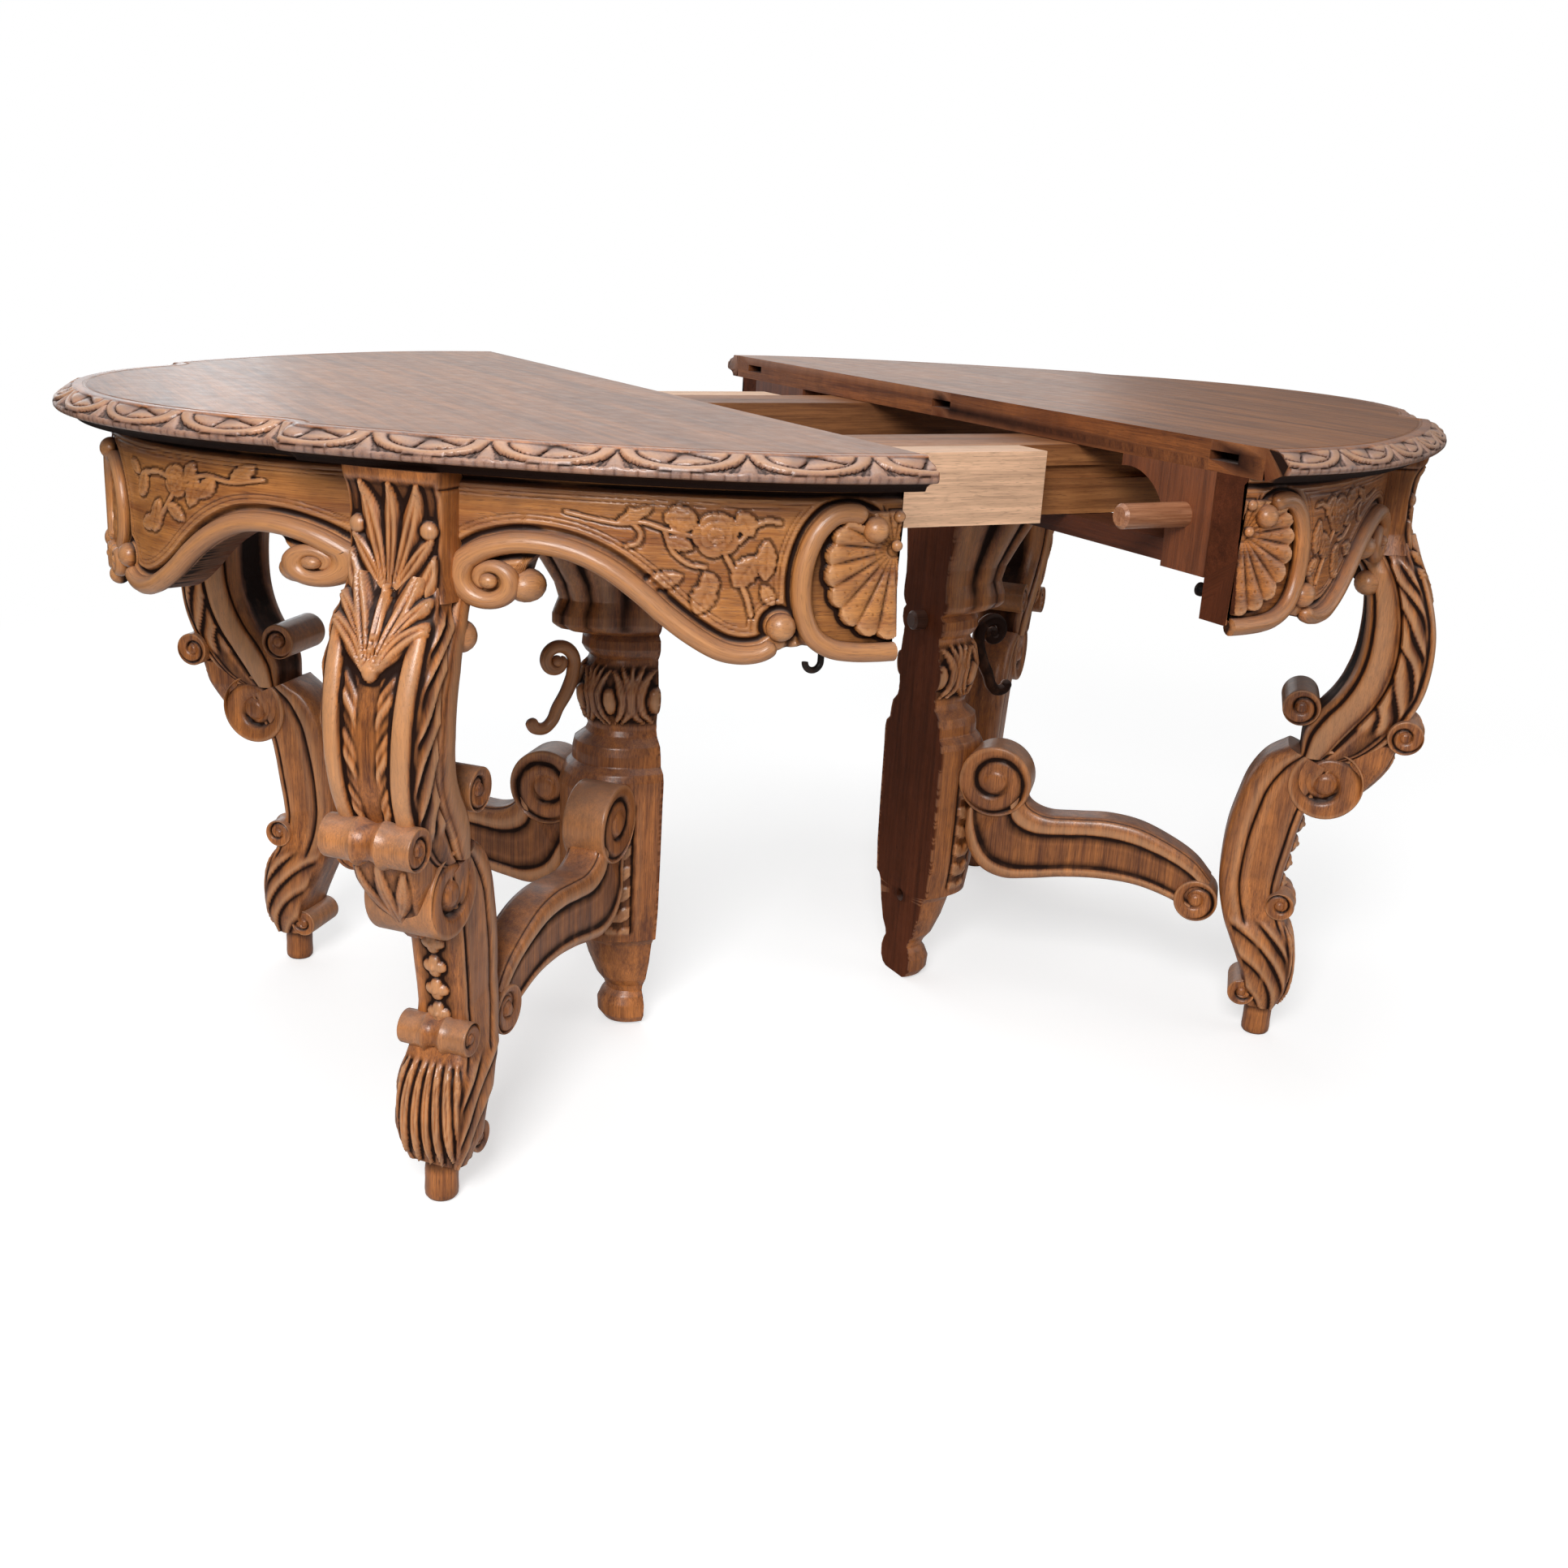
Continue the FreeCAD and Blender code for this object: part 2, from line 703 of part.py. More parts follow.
def make_stretcher(label, side, hand):
    body = new_body(label, side, "Sizes.leg_angle" if hand > 0 else "-Sizes.leg_angle")
    profile = new_sketch(body, "XZ_Plane", label + "_profile")
    stretcher_outline(profile)
    pad(body, profile, label + "_bar", "Sizes.stretcher_wide", symmetric=True)
    block(
        body,
        "Additive",
        label + "_tenon",
        (
            "Sizes.tenon_deep + Sizes.end_scroll",
            "Sizes.tenon_side",
            "Sizes.tenon_tall",
        ),
        (
            f"{STRETCHER_END_TEXT} - Sizes.end_scroll",
            "-Sizes.tenon_side / 2",
            f"{END_SCROLL_TEXT} - Sizes.tenon_tall / 2",
        ),
    )
    return body


# The half columns


def column_section(sketch, wide, deep):
    """A flat back on the split plane, straight cheeks and a half-round front."""
    flat = deep - wide
    draw(sketch, (0, -wide), [(flat, -wide), ((deep, 0), (flat, wide)), (0, wide), (0, -wide)])


def make_column(label, side):
    """A half column with housings for its two stretchers."""
    body = new_body(label, side)
    sections = []
    for number, (high, wide, deep) in enumerate(COLUMN_SHARES):
        lift = f"{high} * ({RAIL_LOW_TEXT})"
        sketch = new_sketch(body, "XY_Plane", f"{label}_section_{number}", lift)
        column_section(sketch, wide * SIZES["column_half_wide"], deep * SIZES["column_deep"])
        sections.append(sketch)
    doc.recompute()
    loft = body.newObject("PartDesign::AdditiveLoft", label + "_turning")
    loft.Profile = sections[0]
    loft.Sections = sections[1:]
    loft.Ruled = True
    doc.recompute()
    across = "(Sizes.stretcher_wide / 2 + Sizes.joint_clear)"
    low = f"{END_SCROLL_TEXT} - Sizes.end_scroll / 2 - Sizes.joint_clear"
    for hand, sign in (("front", "-"), ("back", "+")):
        angle = f"(0 {sign} Sizes.leg_angle) * 1 deg"
        housing = body.newObject("PartDesign::SubtractiveBox", f"{label}_housing_{hand}")
        housing.setExpression("Length", "Sizes.column_deep")
        housing.setExpression("Width", f"2 * {across}")
        housing.setExpression(
            "Height", f"{VOLUTE_TEXT} + Sizes.volute_radius + Sizes.joint_clear - ({low})"
        )
        housing.Placement.Rotation.Axis = UP
        housing.setExpression("Placement.Rotation.Angle", f"0 {sign} Sizes.leg_angle")
        start = "Sizes.stretcher_start"
        housing.setExpression(
            "Placement.Base.x", f"{start} * cos({angle}) + {across} * sin({angle})"
        )
        housing.setExpression(
            "Placement.Base.y", f"{start} * sin({angle}) - {across} * cos({angle})"
        )
        housing.setExpression("Placement.Base.z", low)
        doc.recompute()
    return body


def bore(body, name, size_name, place, length, extra):
    """A round hole from the split plane into a body: place is (v, z)."""
    sketch = new_sketch(body, "YZ_Plane", name + "_round")
    draw_circle(sketch, place, size_name, extra)
    doc.recompute()
    pocket(body, sketch, name, length, back=True)


def make_pin(label, side, size_name, place, out, inside):
    """A round pin that stands out of the split plane of its half."""
    body = new_body(label, side)
    sketch = new_sketch(body, "YZ_Plane", label + "_round", f"-{out}")
    draw_circle(sketch, place, size_name)
    stem = pad(body, sketch, label + "_stem", f"{out} + {inside}")
    rim = [
        f"Edge{number}"
        for number, edge in enumerate(stem.Shape.Edges, start=1)
        if edge.BoundBox.XMax < -SIZES["peg_edge"]
    ]
    nose = body.newObject("PartDesign::Chamfer", label + "_nose")
    nose.Base = (stem, rim)
    nose.setExpression("Size", f"Sizes.{size_name} / 4")
    doc.recompute()
    return body


def make_handle(label, side):
    """The thin carved scroll that stands off the column's vase, on the side away from the split."""
    body = new_body(label, side)
    face = SIZES["column_deep"] * 0.76 + SIZES["joint_clear"]
    ring = COLUMN_TOP * COLUMN_HIGH_SHARES["column_dowel"] - SIZES["column_dowel"] * 0.5
    rod = SIZES["handle_radius"]
    spots = [
        (face, ring + rod * 0.3),
        (face + rod * 3.0, ring + rod * 1.5),
        (face + rod * 6.5, ring + rod * 0.5),
        (face + rod * 9.0, ring - rod * 3.5),
        (face + rod * 7.8, ring - rod * 8.0),
        (face + rod * 6.0, ring - rod * 11.5),
        (face + rod * 8.0, ring - rod * 13.3),
        (face + rod * 9.6, ring - rod * 11.6),
    ]
    spine = new_sketch(body, "XZ_Plane", label + "_spine")
    curve = Part.BSplineCurve()
    curve.interpolate([V(u, z, 0) for u, z in spots])
    spine.addGeometry(curve, False)
    doc.recompute()
    start = new_sketch(body, "YZ_Plane", label + "_round")
    start.AttachmentOffset = FreeCAD.Placement(V(0, 0, face), FreeCAD.Rotation())
    draw_circle(start, (0, spots[0][1]), "handle_radius")
    doc.recompute()
    rod_feature = body.newObject("PartDesign::AdditivePipe", label + "_rod")
    rod_feature.Profile = start
    rod_feature.Spine = (spine, ["Edge1"])
    doc.recompute()
    return body


# What joins each half at the split


def make_rail(label, side):
    """The flat cross rail on the column, over which the slides run."""
    body = new_body(label, side)
    block(
        body,
        "Additive",
        label + "_board",
        ("Sizes.rail_wide", f"2 * {BRACKET_STEP_TEXT}", "Sizes.rail_thick"),
        ("0", f"-{BRACKET_STEP_TEXT}", RAIL_LOW_TEXT),
    )
    return body


def make_bracket(label, side, hand):
    """The coved bracket between the top, the long apron and the cross rail."""
    body = new_body(label, side)
    sketch = new_sketch(body, "YZ_Plane", label + "_profile")
    edge = SIZES["half_width"] - SIZES["bracket_edge"]
    step = SIZES["half_width"] - SIZES["bracket_step"]
    low = TOP_UNDER - SIZES["bracket_drop"]
    outer = split_width(SIZES["apron_inset"] + SIZES["apron_thick"], SIZES["bracket_thick"])
    cove = TOP_UNDER - SIZES["bracket_cove"]
    shelf = RAIL_TOP + SIZES["bracket_cove"] / 2
    middle = (edge + (step - edge) * 0.72, shelf + (cove - shelf) * 0.72)
    spots = [
        (edge, cove),
        (middle, (step, shelf)),
        (step, low),
        (outer, low),
        (outer, TOP_UNDER),
        (edge, TOP_UNDER),
    ]
    turned = []
    for spot in spots:
        if isinstance(spot[0], tuple):
            turned.append(tuple((hand * v, z) for v, z in spot))
        else:
            turned.append((hand * spot[0], spot[1]))
    draw(sketch, turned[-1], turned)
    pad(body, sketch, label + "_plate", "Sizes.bracket_thick")
    return body


# The slides


def slide_face(member):
    """The outer face of a slide member, as an expression: 0 outer, 1 middle, 2 inner."""
    step = f"{member} * (Sizes.slide_thick + Sizes.slide_gap)"
    return f"(Sizes.half_width - Sizes.slide_inset - {step})"


def slide_limit(name):
    """Where the end apron stops a fixed slide: at its corner by the leg, or at its inner face."""
    centre, radius = end_circle()
    radius -= SIZES["apron_inset"] + SIZES["apron_thick"]
    if name == "outer":
        return meet(((centre, 0), radius), SIZES["block_wide"] / 2, -1)[0]
    face = slide_middle(2) + SIZES["slide_thick"] / 2
    return centre + math.sqrt(radius * radius - face * face)


def slide_block(body, kind, name, run, across, up, hand):
    """A box along the slides: run, across and up are pairs of low place and size."""
    low = across[0] if hand > 0 else f"-({across[0]}) - ({across[1]})"
    block(body, kind, name, (run[1], across[1], up[1]), (run[0], low, up[0]))


def make_slide(label, side, hand, member, name):
    """A fixed slide member: a beam that reaches past the split, seated on its own half's top."""
    body = new_body(label, side)
    inner = f"{slide_face(member)} - Sizes.slide_thick"
    inside = f"({slide_limit(name):.3f} - Sizes.{name}_clear)"
    run = (f"-Sizes.{name}_reach", f"Sizes.{name}_reach + {inside}")
    across = (inner, "Sizes.slide_thick")
    slide_block(
        body, "Additive", label + "_beam", run, across, (SLIDE_LOW_TEXT, "Sizes.slide_tall"), hand
    )
    seat = ("Sizes.seat_start", f"{inside} - Sizes.seat_start")
    rise = (SLIDE_LOW_TEXT, "Sizes.slide_tall + Sizes.slide_under")
    slide_block(body, "Additive", label + "_seat", seat, across, rise, hand)
    if member == 0:
        add_key(body, label, hand, member, run)
    else:
        cut_groove(body, label, hand, member, run)
    drill_for_screws(body, label, hand, member, name)
    return body


def add_key(body, label, hand, member, run):
    """The tongue on a member's inner face, which the next member hangs on."""
    across = (
        f"{slide_face(member)} - Sizes.slide_thick - Sizes.key_deep",
        "Sizes.key_deep + Sizes.slide_gap",
    )
    up = (f"{KEY_TEXT} - Sizes.key_tall / 2", "Sizes.key_tall")
    slide_block(body, "Additive", label + "_key", run, across, up, hand)


def cut_groove(body, label, hand, member, run):
    """The groove in a member's outer face, for the key of the member outside it."""
    across = (
        f"{slide_face(member)} - Sizes.key_deep - Sizes.key_clear + Sizes.slide_gap",
        "Sizes.key_deep + Sizes.key_clear + Sizes.overrun",
    )
    up = (
        f"{KEY_TEXT} - Sizes.key_tall / 2 - Sizes.key_clear",
        "Sizes.key_tall + 2 * Sizes.key_clear",
    )
    slide_block(body, "Subtractive", label + "_groove", run, across, up, hand)


def make_middle_slide(label, hand):
    """The free member between a fixed slide of each half."""
    body = new_body(label)
    run = ("-Sizes.middle_length / 2", "Sizes.middle_length")
    across = (f"{slide_face(1)} - Sizes.slide_thick", "Sizes.slide_thick")
    slide_block(
        body, "Additive", label + "_beam", run, across, (SLIDE_LOW_TEXT, "Sizes.slide_tall"), hand
    )
    add_key(body, label, hand, 1, run)
    cut_groove(body, label, hand, 1, run)
    return body


def slide_middle(member):
    """Distance of a slide member's middle from the table's middle line."""
    outer = SIZES["half_width"] - SIZES["slide_inset"] - SIZES["slide_thick"] / 2
    return outer - member * (SIZES["slide_thick"] + SIZES["slide_gap"])


def screw_places(name):
    """Distances of a fixed slide's screws from the split plane."""
    first = SIZES["seat_start"] + SIZES["screw_pitch"] / 4
    last = slide_limit(name) - SIZES[name + "_clear"] - SIZES["screw_head"] * 2
    count = 1 + int((last - first) / SIZES["screw_pitch"])
    return [first + SIZES["screw_pitch"] * number for number in range(count)]


def make_screws(label, side, member, name):
    """Countersunk screws from under the fixed slides of one half up into its top."""
    parts = []
    for hand in (1, -1):
        for along in screw_places(name):
            x = side * (SIZES["split_gap"] / 2 + along)
            place = V(x, hand * slide_middle(member), SLIDE_LOW + SIZES["screw_sink"])
            head = doc.addObject("Part::Cone", "screw_head")
            head.setExpression("Radius1", "Sizes.screw_head")
            head.setExpression("Radius2", "Sizes.screw_shank")
            head.setExpression("Height", "Sizes.screw_cone")
            head.Placement.Base = place
            shank = doc.addObject("Part::Cylinder", "screw_shank")
            shank.setExpression("Radius", "Sizes.screw_shank")
            shank.setExpression(
                "Height", "Sizes.slide_tall + Sizes.slide_under + Sizes.screw_bite"
            )
            shank.Placement.Base = place
            screw = doc.addObject("Part::Fuse", "screw")
            screw.Base = head
            screw.Tool = shank
            parts.append(screw)
    group(parts, label)


def drill_for_screws(body, label, hand, member, name):
    """Shank holes and wider head recesses for the screws, from under a fixed slide."""
    across = hand * slide_middle(member)
    for kind, radius, depth in (
        ("shanks", "screw_shank", "Sizes.slide_tall + Sizes.slide_under"),
        ("heads", "screw_head", "Sizes.screw_cone + Sizes.screw_sink"),
    ):
        sketch = new_sketch(body, "XY_Plane", f"{label}_{kind}", SLIDE_LOW_TEXT)
        for along in screw_places(name):
            draw_circle(sketch, (along, across), radius, " + Sizes.guide_fit")
        doc.recompute()
        pocket(body, sketch, f"{label}_{kind}_drilled", depth, back=True)


# The iron hooks


def hook_seat(u):
    """Distance of the long apron's inner face from the middle line at u."""
    return split_width(SIZES["apron_inset"] + SIZES["apron_thick"], u)


def make_hook(label, hand):
    """A ring on a pivot screw, a straight shank and a curled end, hanging from the left apron."""
    body = new_body(label)
    seat = hook_seat(SIZES["hook_inset"]) - SIZES["hook_stand"]
    body.setExpression("Placement.Base.x", "-Sizes.split_gap / 2 - Sizes.hook_inset")
    body.Placement.Base = V(body.Placement.Base.x, hand * seat, 0)
    body.setExpression("Placement.Base.z", f"{TOP_UNDER_TEXT} - Sizes.hook_below")
    ring = new_sketch(body, "XZ_Plane", label + "_ring")
    draw_circle(ring, (0, 0), "hook_ring")
    draw_circle(ring, (0, 0), "hook_bore")
    pad(body, ring, label + "_eye", "Sizes.hook_eye", symmetric=True)
    start = (SIZES["hook_ring"] + SIZES["hook_bore"]) / 2
    drop = SIZES["hook_drop"]
    curl = SIZES["hook_curl"]
    spine = new_sketch(body, "XZ_Plane", label + "_spine")
    spine.addGeometry(Part.LineSegment(V(0, -start, 0), V(0, -drop, 0)), False)
    bend = Part.Arc(V(0, -drop, 0), V(-curl, -drop - curl, 0), V(-2 * curl, -drop, 0))
    spine.addGeometry(bend, False)
    shank = new_sketch(
        body, "XY_Plane", label + "_shank", "-(Sizes.hook_ring + Sizes.hook_bore) / 2"
    )
    draw_circle(shank, (0, 0), "hook_wire")
    doc.recompute()
    rod = body.newObject("PartDesign::AdditivePipe", label + "_rod")
    rod.Profile = shank
    rod.Spine = (spine, ["Edge1", "Edge2"])
    doc.recompute()
    return body


def make_hook_screws(label, u, high, radius_name, side):
    """The front and back screws that carry the hooks, or the pegs that they catch on."""
    parts = []
    for hand in (1, -1):
        face = hook_seat(u) + SIZES["hook_bite"]
        stem = SIZES["hook_bite"] + SIZES["hook_stand"] + SIZES["hook_wire"] + SIZES["hook_head_thick"]
        place = V(side * (SIZES["split_gap"] / 2 + u), hand * face, high)
        turn = FreeCAD.Rotation(V(1, 0, 0), 90 * hand)
        shank = doc.addObject("Part::Cylinder", "hook_screw_shank")
        fit = "" if radius_name == "hook_peg" else " - Sizes.hook_fit"
        shank.setExpression("Radius", f"Sizes.{radius_name}{fit}")
        shank.setExpression(
            "Height",
            "Sizes.hook_bite + Sizes.hook_stand + Sizes.hook_wire + 2 * Sizes.hook_head_thick",
        )
        shank.Placement = FreeCAD.Placement(place, turn)
        head = doc.addObject("Part::Cylinder", "hook_screw_head")
        head.setExpression("Radius", "Sizes.hook_screw_head")
        head.setExpression("Height", "Sizes.hook_head_thick")
        head.Placement = FreeCAD.Placement(place + V(0, -hand * stem, 0), turn)
        screw = doc.addObject("Part::Fuse", "hook_screw")
        screw.Base = shank
        screw.Tool = head
        parts.append(screw)
    group(parts, label)


# Assembly

SIDES = (("left", -1), ("right", 1))


def hands(side):
    """Front and back in a half's frame: the left half's frame is turned half round."""
    return (("front", -side), ("back", side))


def build():
    for name, side in SIDES:
        make_top(f"top_{name}", side)
        make_end_apron(f"apron_end_{name}", side)
        make_rail(f"cross_rail_{name}", side)
        column = make_column(f"column_{name}", side)
        make_handle(f"column_scroll_{name}", side)
        dowel = "column_dowel" if side > 0 else "column_pin"
        hole = "column_pin" if side > 0 else "column_dowel"
        bore(
            column,
            f"dowel_seat_{name}",
            dowel,
            (0, COLUMN_TOP * COLUMN_HIGH_SHARES[dowel]),
            "Sizes.column_dowel_in",
            " + Sizes.guide_fit",
        )
        bore(
            column,
            f"dowel_hole_{name}",
            hole,
            (0, COLUMN_TOP * COLUMN_HIGH_SHARES[hole]),
            "Sizes.column_dowel_out + 2 * Sizes.dowel_clear",
            " + Sizes.dowel_clear",
        )
        make_pin(
            f"column_dowel_{name}",
            side,
            dowel,
            (0, COLUMN_TOP * COLUMN_HIGH_SHARES[dowel]),
            "Sizes.column_dowel_out",
            "Sizes.column_dowel_in",
        )
        for place, hand in hands(side):
            make_side_apron(f"apron_{place}_{name}", side, hand)
            make_leg(f"leg_{place}_{name}", side, hand)
            make_peg(f"foot_{place}_{name}", side, hand)
            make_stretcher(f"stretcher_{place}_{name}", side, hand)
            bracket = make_bracket(f"bracket_{place}_{name}", side, hand)
            spot = (
                hand * (SIZES["half_width"] - SIZES["guide_dowel_inset"]),
                TOP_UNDER - SIZES["guide_dowel_drop"],
            )
            bore(
                bracket,
                f"guide_hole_{place}_{name}",
                "guide_dowel",
                spot,
                "Sizes.bracket_thick + Sizes.overrun",
                " + Sizes.guide_fit" if side > 0 else " + Sizes.dowel_clear",
            )
            if side > 0:
                make_pin(
                    f"guide_dowel_{place}",
                    side,
                    "guide_dowel",
                    spot,
                    "Sizes.guide_dowel_out",
                    "Sizes.bracket_thick",
                )
                make_slide(f"slide_inner_{place}", side, hand, 2, "inner")
                make_middle_slide(f"slide_middle_{place}", hand)
            else:
                make_slide(f"slide_outer_{place}", side, hand, 0, "outer")
                make_hook(f"hook_{place}", 1 if place == "back" else -1)
        if side > 0:
            make_screws(f"slide_screws_{name}", side, 2, "inner")
        else:
            make_screws(f"slide_screws_{name}", side, 0, "outer")
    make_tenons()
    make_hook_screws("hook_screws", SIZES["hook_inset"], HOOK_HIGH, "hook_bore", -1)
    peg_high = HOOK_HIGH - SIZES["hook_curl"]
    make_hook_screws("hook_pegs", SIZES["hook_peg_place"], peg_high, "hook_peg", 1)


def write():
    """Checks every object and writes each node's solid."""
    doc.recompute()
    failed = [o.Label for o in doc.Objects if "Invalid" in o.State or "Error" in o.State]
    if failed:
        raise RuntimeError(f"failed: {failed}")
    os.makedirs("parts", exist_ok=True)
    for node in NODES:
        if node.Shape.isNull() or not node.Shape.isValid():
            raise RuntimeError(f"{node.Label} has no valid shape")
        node.Shape.exportStep(f"parts/{node.Label}.step")
        box = node.Shape.BoundBox
        print(
            f"{node.Label}: {len(node.Shape.Solids)} solid, {node.Shape.Volume / 1e6:.3f} litre,"
            f" X {box.XMin:.1f} {box.XMax:.1f} Y {box.YMin:.1f} {box.YMax:.1f}"
            f" Z {box.ZMin:.1f} {box.ZMax:.1f}"
        )


build()
write()
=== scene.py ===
import math

import bmesh
import bpy
import numpy as np
from bpy.props import FloatProperty, FloatVectorProperty, PointerProperty
from mathutils import Matrix, Vector


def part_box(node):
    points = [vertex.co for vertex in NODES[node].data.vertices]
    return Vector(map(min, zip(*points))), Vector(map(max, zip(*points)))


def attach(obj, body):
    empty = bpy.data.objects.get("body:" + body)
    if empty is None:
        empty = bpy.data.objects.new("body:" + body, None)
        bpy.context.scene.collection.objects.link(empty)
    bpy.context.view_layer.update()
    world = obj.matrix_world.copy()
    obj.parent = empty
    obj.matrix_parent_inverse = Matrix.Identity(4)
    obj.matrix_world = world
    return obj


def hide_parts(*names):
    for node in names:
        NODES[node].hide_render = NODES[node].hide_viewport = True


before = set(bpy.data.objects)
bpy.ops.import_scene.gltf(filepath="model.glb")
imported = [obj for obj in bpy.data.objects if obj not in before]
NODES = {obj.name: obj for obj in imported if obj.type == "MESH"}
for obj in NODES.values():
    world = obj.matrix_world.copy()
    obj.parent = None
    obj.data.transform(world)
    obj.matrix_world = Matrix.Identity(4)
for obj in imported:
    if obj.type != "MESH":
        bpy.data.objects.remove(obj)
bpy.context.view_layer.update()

bl_info = {
    "name": "Carved extending table",
    "version": (1, 0, 0),
    "blender": (4, 5, 0),
    "location": "View3D > Sidebar > Table",
    "description": "Carved oak, finishes and stage for a table that draws out in two halves",
    "category": "Add Mesh",
}

# Each half is drawn in its own frame, as the solids are: u runs outwards from its split plane,
# v across the table and z up. side is 1 for the right half and -1 for the left, whose frame is
# turned half round. A leg's frame has r out along the leg's plane, s towards the long apron.
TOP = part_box("top_right")
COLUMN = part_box("column_right")
GAP_HALF = TOP[0][0]
TABLE_HEIGHT = TOP[1][2]
TOP_UNDER = TOP[0][2]
NOSE_OUT = 0.020
HALF_LENGTH = TOP[1][0] - GAP_HALF - NOSE_OUT
HALF_WIDTH = TOP[1][1] - NOSE_OUT
COLUMN_TOP = COLUMN[1][2]

# Points of the top's plan, as shares of its half length and half width, from split to notch.
PLAN_SHARES = (
    (0.000, 1.000),
    (0.165, 0.977),
    (0.331, 0.908),
    (0.562, 0.752),
    (0.769, 0.558),
    (0.766, 0.520),
    (0.788, 0.487),
)


def srgb(red, green, blue):
    """A colour from 0 to 255 as the linear values that the shaders take."""
    share = np.array((red, green, blue)) / 255
    linear = np.where(share > 0.04045, ((share + 0.055) / 1.055) ** 2.4, share / 12.92)
    return tuple(float(value) for value in linear)


class TableSizes(bpy.types.PropertyGroup):
    apron_inset: FloatProperty(
        name="Apron inset", description="Apron's face behind the plan", default=0.033, unit="LENGTH"
    )
    apron_thick: FloatProperty(
        name="Apron thickness", description="Face to rear", default=0.042, unit="LENGTH"
    )
    leg_angle: FloatProperty(
        name="Leg angle", description="Leg's plane from the slides", default=math.radians(42.75),
        unit="ROTATION",
    )
    edge_repeat: FloatProperty(
        name="Edge repeat", description="Run of one fan and one dart", default=0.104, unit="LENGTH"
    )
    rib: FloatProperty(
        name="Rib", description="Radius of the rib along an apron", default=0.0088, unit="LENGTH"
    )
    mortise_place: FloatProperty(
        name="Mortise place", description="Outer mortises from the middle", default=0.495,
        unit="LENGTH",
    )


class TableColours(bpy.types.PropertyGroup):
    oak_light: FloatVectorProperty(
        name="Oak, light", description="Early wood", subtype="COLOR", default=srgb(202, 124, 60)
    )
    oak_dark: FloatVectorProperty(
        name="Oak, dark", description="Late wood", subtype="COLOR", default=srgb(104, 54, 25)
    )
    # Used on the left half's aprons only; the right half's aprons take the darker oak above, as
    # painted shade.
    apron_light: FloatVectorProperty(
        name="Aprons, light", description="Early wood", subtype="COLOR", default=srgb(204, 136, 72)
    )
    apron_dark: FloatVectorProperty(
        name="Aprons, dark", description="Late wood", subtype="COLOR", default=srgb(130, 72, 34)
    )
    # Painted shade with old polish in the carving's hollows; the wood's pores take this colour too.
    dark_polish_and_shade: FloatVectorProperty(
        name="Recesses", description="Old polish in the hollows", subtype="COLOR",
        default=srgb(34, 17, 10),
    )
    # Rubbed wear with a painted highlight on the carving's high spots.
    worn_and_highlight: FloatVectorProperty(
        name="Worn", description="Rubbed high spots", subtype="COLOR", default=srgb(216, 162, 116)
    )
    oak_inner: FloatVectorProperty(
        name="Inner oak", description="Unpolished faces", subtype="COLOR", default=srgb(96, 48, 26)
    )
    # Waxed band round the top with a painted sheen; also the colour of the painted sheen on upward
    # faces.
    pale_wax_and_sheen: FloatVectorProperty(
        name="Pale edge", description="Waxed band round the top", subtype="COLOR",
        default=srgb(154, 136, 130),
    )
    slide_pale: FloatVectorProperty(
        name="Slides", description="Pale wood", subtype="COLOR", default=srgb(238, 192, 156)
    )
    iron: FloatVectorProperty(
        name="Iron", description="Blackened iron", subtype="COLOR", default=srgb(52, 50, 50)
    )


def sizes():
    return bpy.context.scene.table_sizes


def colours():
    return bpy.context.scene.table_colours


# Curves in a plane


def arc(first, middle, last, count):
    """Points of the circle through three points, from the first to the last."""
    a, b, c = (np.asarray(point, float) for point in (first, middle, last))
    turn = 2 * (a[0] * (b[1] - c[1]) + b[0] * (c[1] - a[1]) + c[0] * (a[1] - b[1]))
    squares = [point @ point for point in (a, b, c)]
    centre = np.array([
        (squares[0] * (b[1] - c[1]) + squares[1] * (c[1] - a[1]) + squares[2] * (a[1] - b[1])),
        (squares[0] * (c[0] - b[0]) + squares[1] * (a[0] - c[0]) + squares[2] * (b[0] - a[0])),
    ]) / turn
    angles = [math.atan2(*(point - centre)[::-1]) for point in (a, b, c)]
    way = 1 if turn > 0 else -1
    sweep = (way * (angles[2] - angles[0])) % (2 * math.pi)
    at = angles[0] + way * np.linspace(0, sweep, count)
    return centre + np.linalg.norm(a - centre) * np.stack([np.cos(at), np.sin(at)], -1)


def lengths(line):
    """How far along a line each of its points is."""
    return np.concatenate([[0], np.cumsum(np.linalg.norm(np.diff(line, axis=0), axis=1))])


def left_normals(line):
    """Unit normals of a flat line, to the left of its run."""
    normal = np.stack([-np.gradient(line[:, 1]), np.gradient(line[:, 0])], -1)
    return normal / np.linalg.norm(normal, axis=1)[:, None]


def evenly(line, count):
    """The same line with evenly spaced points."""
    run = lengths(line)
    at = np.linspace(0, run[-1], count)
    return np.stack([np.interp(at, run, line[:, axis]) for axis in range(line.shape[1])], -1)


def smooth_path(points, count):
    """A Catmull-Rom curve through given points, evenly spaced along its length."""
    p = np.asarray(points, float)
    p = np.vstack([2 * p[0] - p[1], p, 2 * p[-1] - p[-2]])
    share = np.linspace(0, len(p) - 3, 40 * len(p))
    index = np.minimum(share.astype(int), len(p) - 4)
    f = (share - index)[:, None]
    a, b, c, d = p[index], p[index + 1], p[index + 2], p[index + 3]
    cubic = 3 * b - a - 3 * c + d
    dense = 0.5 * (2 * b + (c - a) * f + (2 * a - 5 * b + 4 * c - d) * f**2 + cubic * f**3)
    return evenly(dense, count)


def spiral(centre, start, end, first, turns, count):
    """A spiral whose radius shrinks evenly, from a first angle in degrees."""
    share = np.linspace(0, 1, count)
    angle = math.radians(first) + 2 * math.pi * turns * share
    radius = start + (end - start) * share**0.85
    return np.asarray(centre) + radius[:, None] * np.stack([np.cos(angle), np.sin(angle)], -1)


PLACES_AT_ONCE = 20000


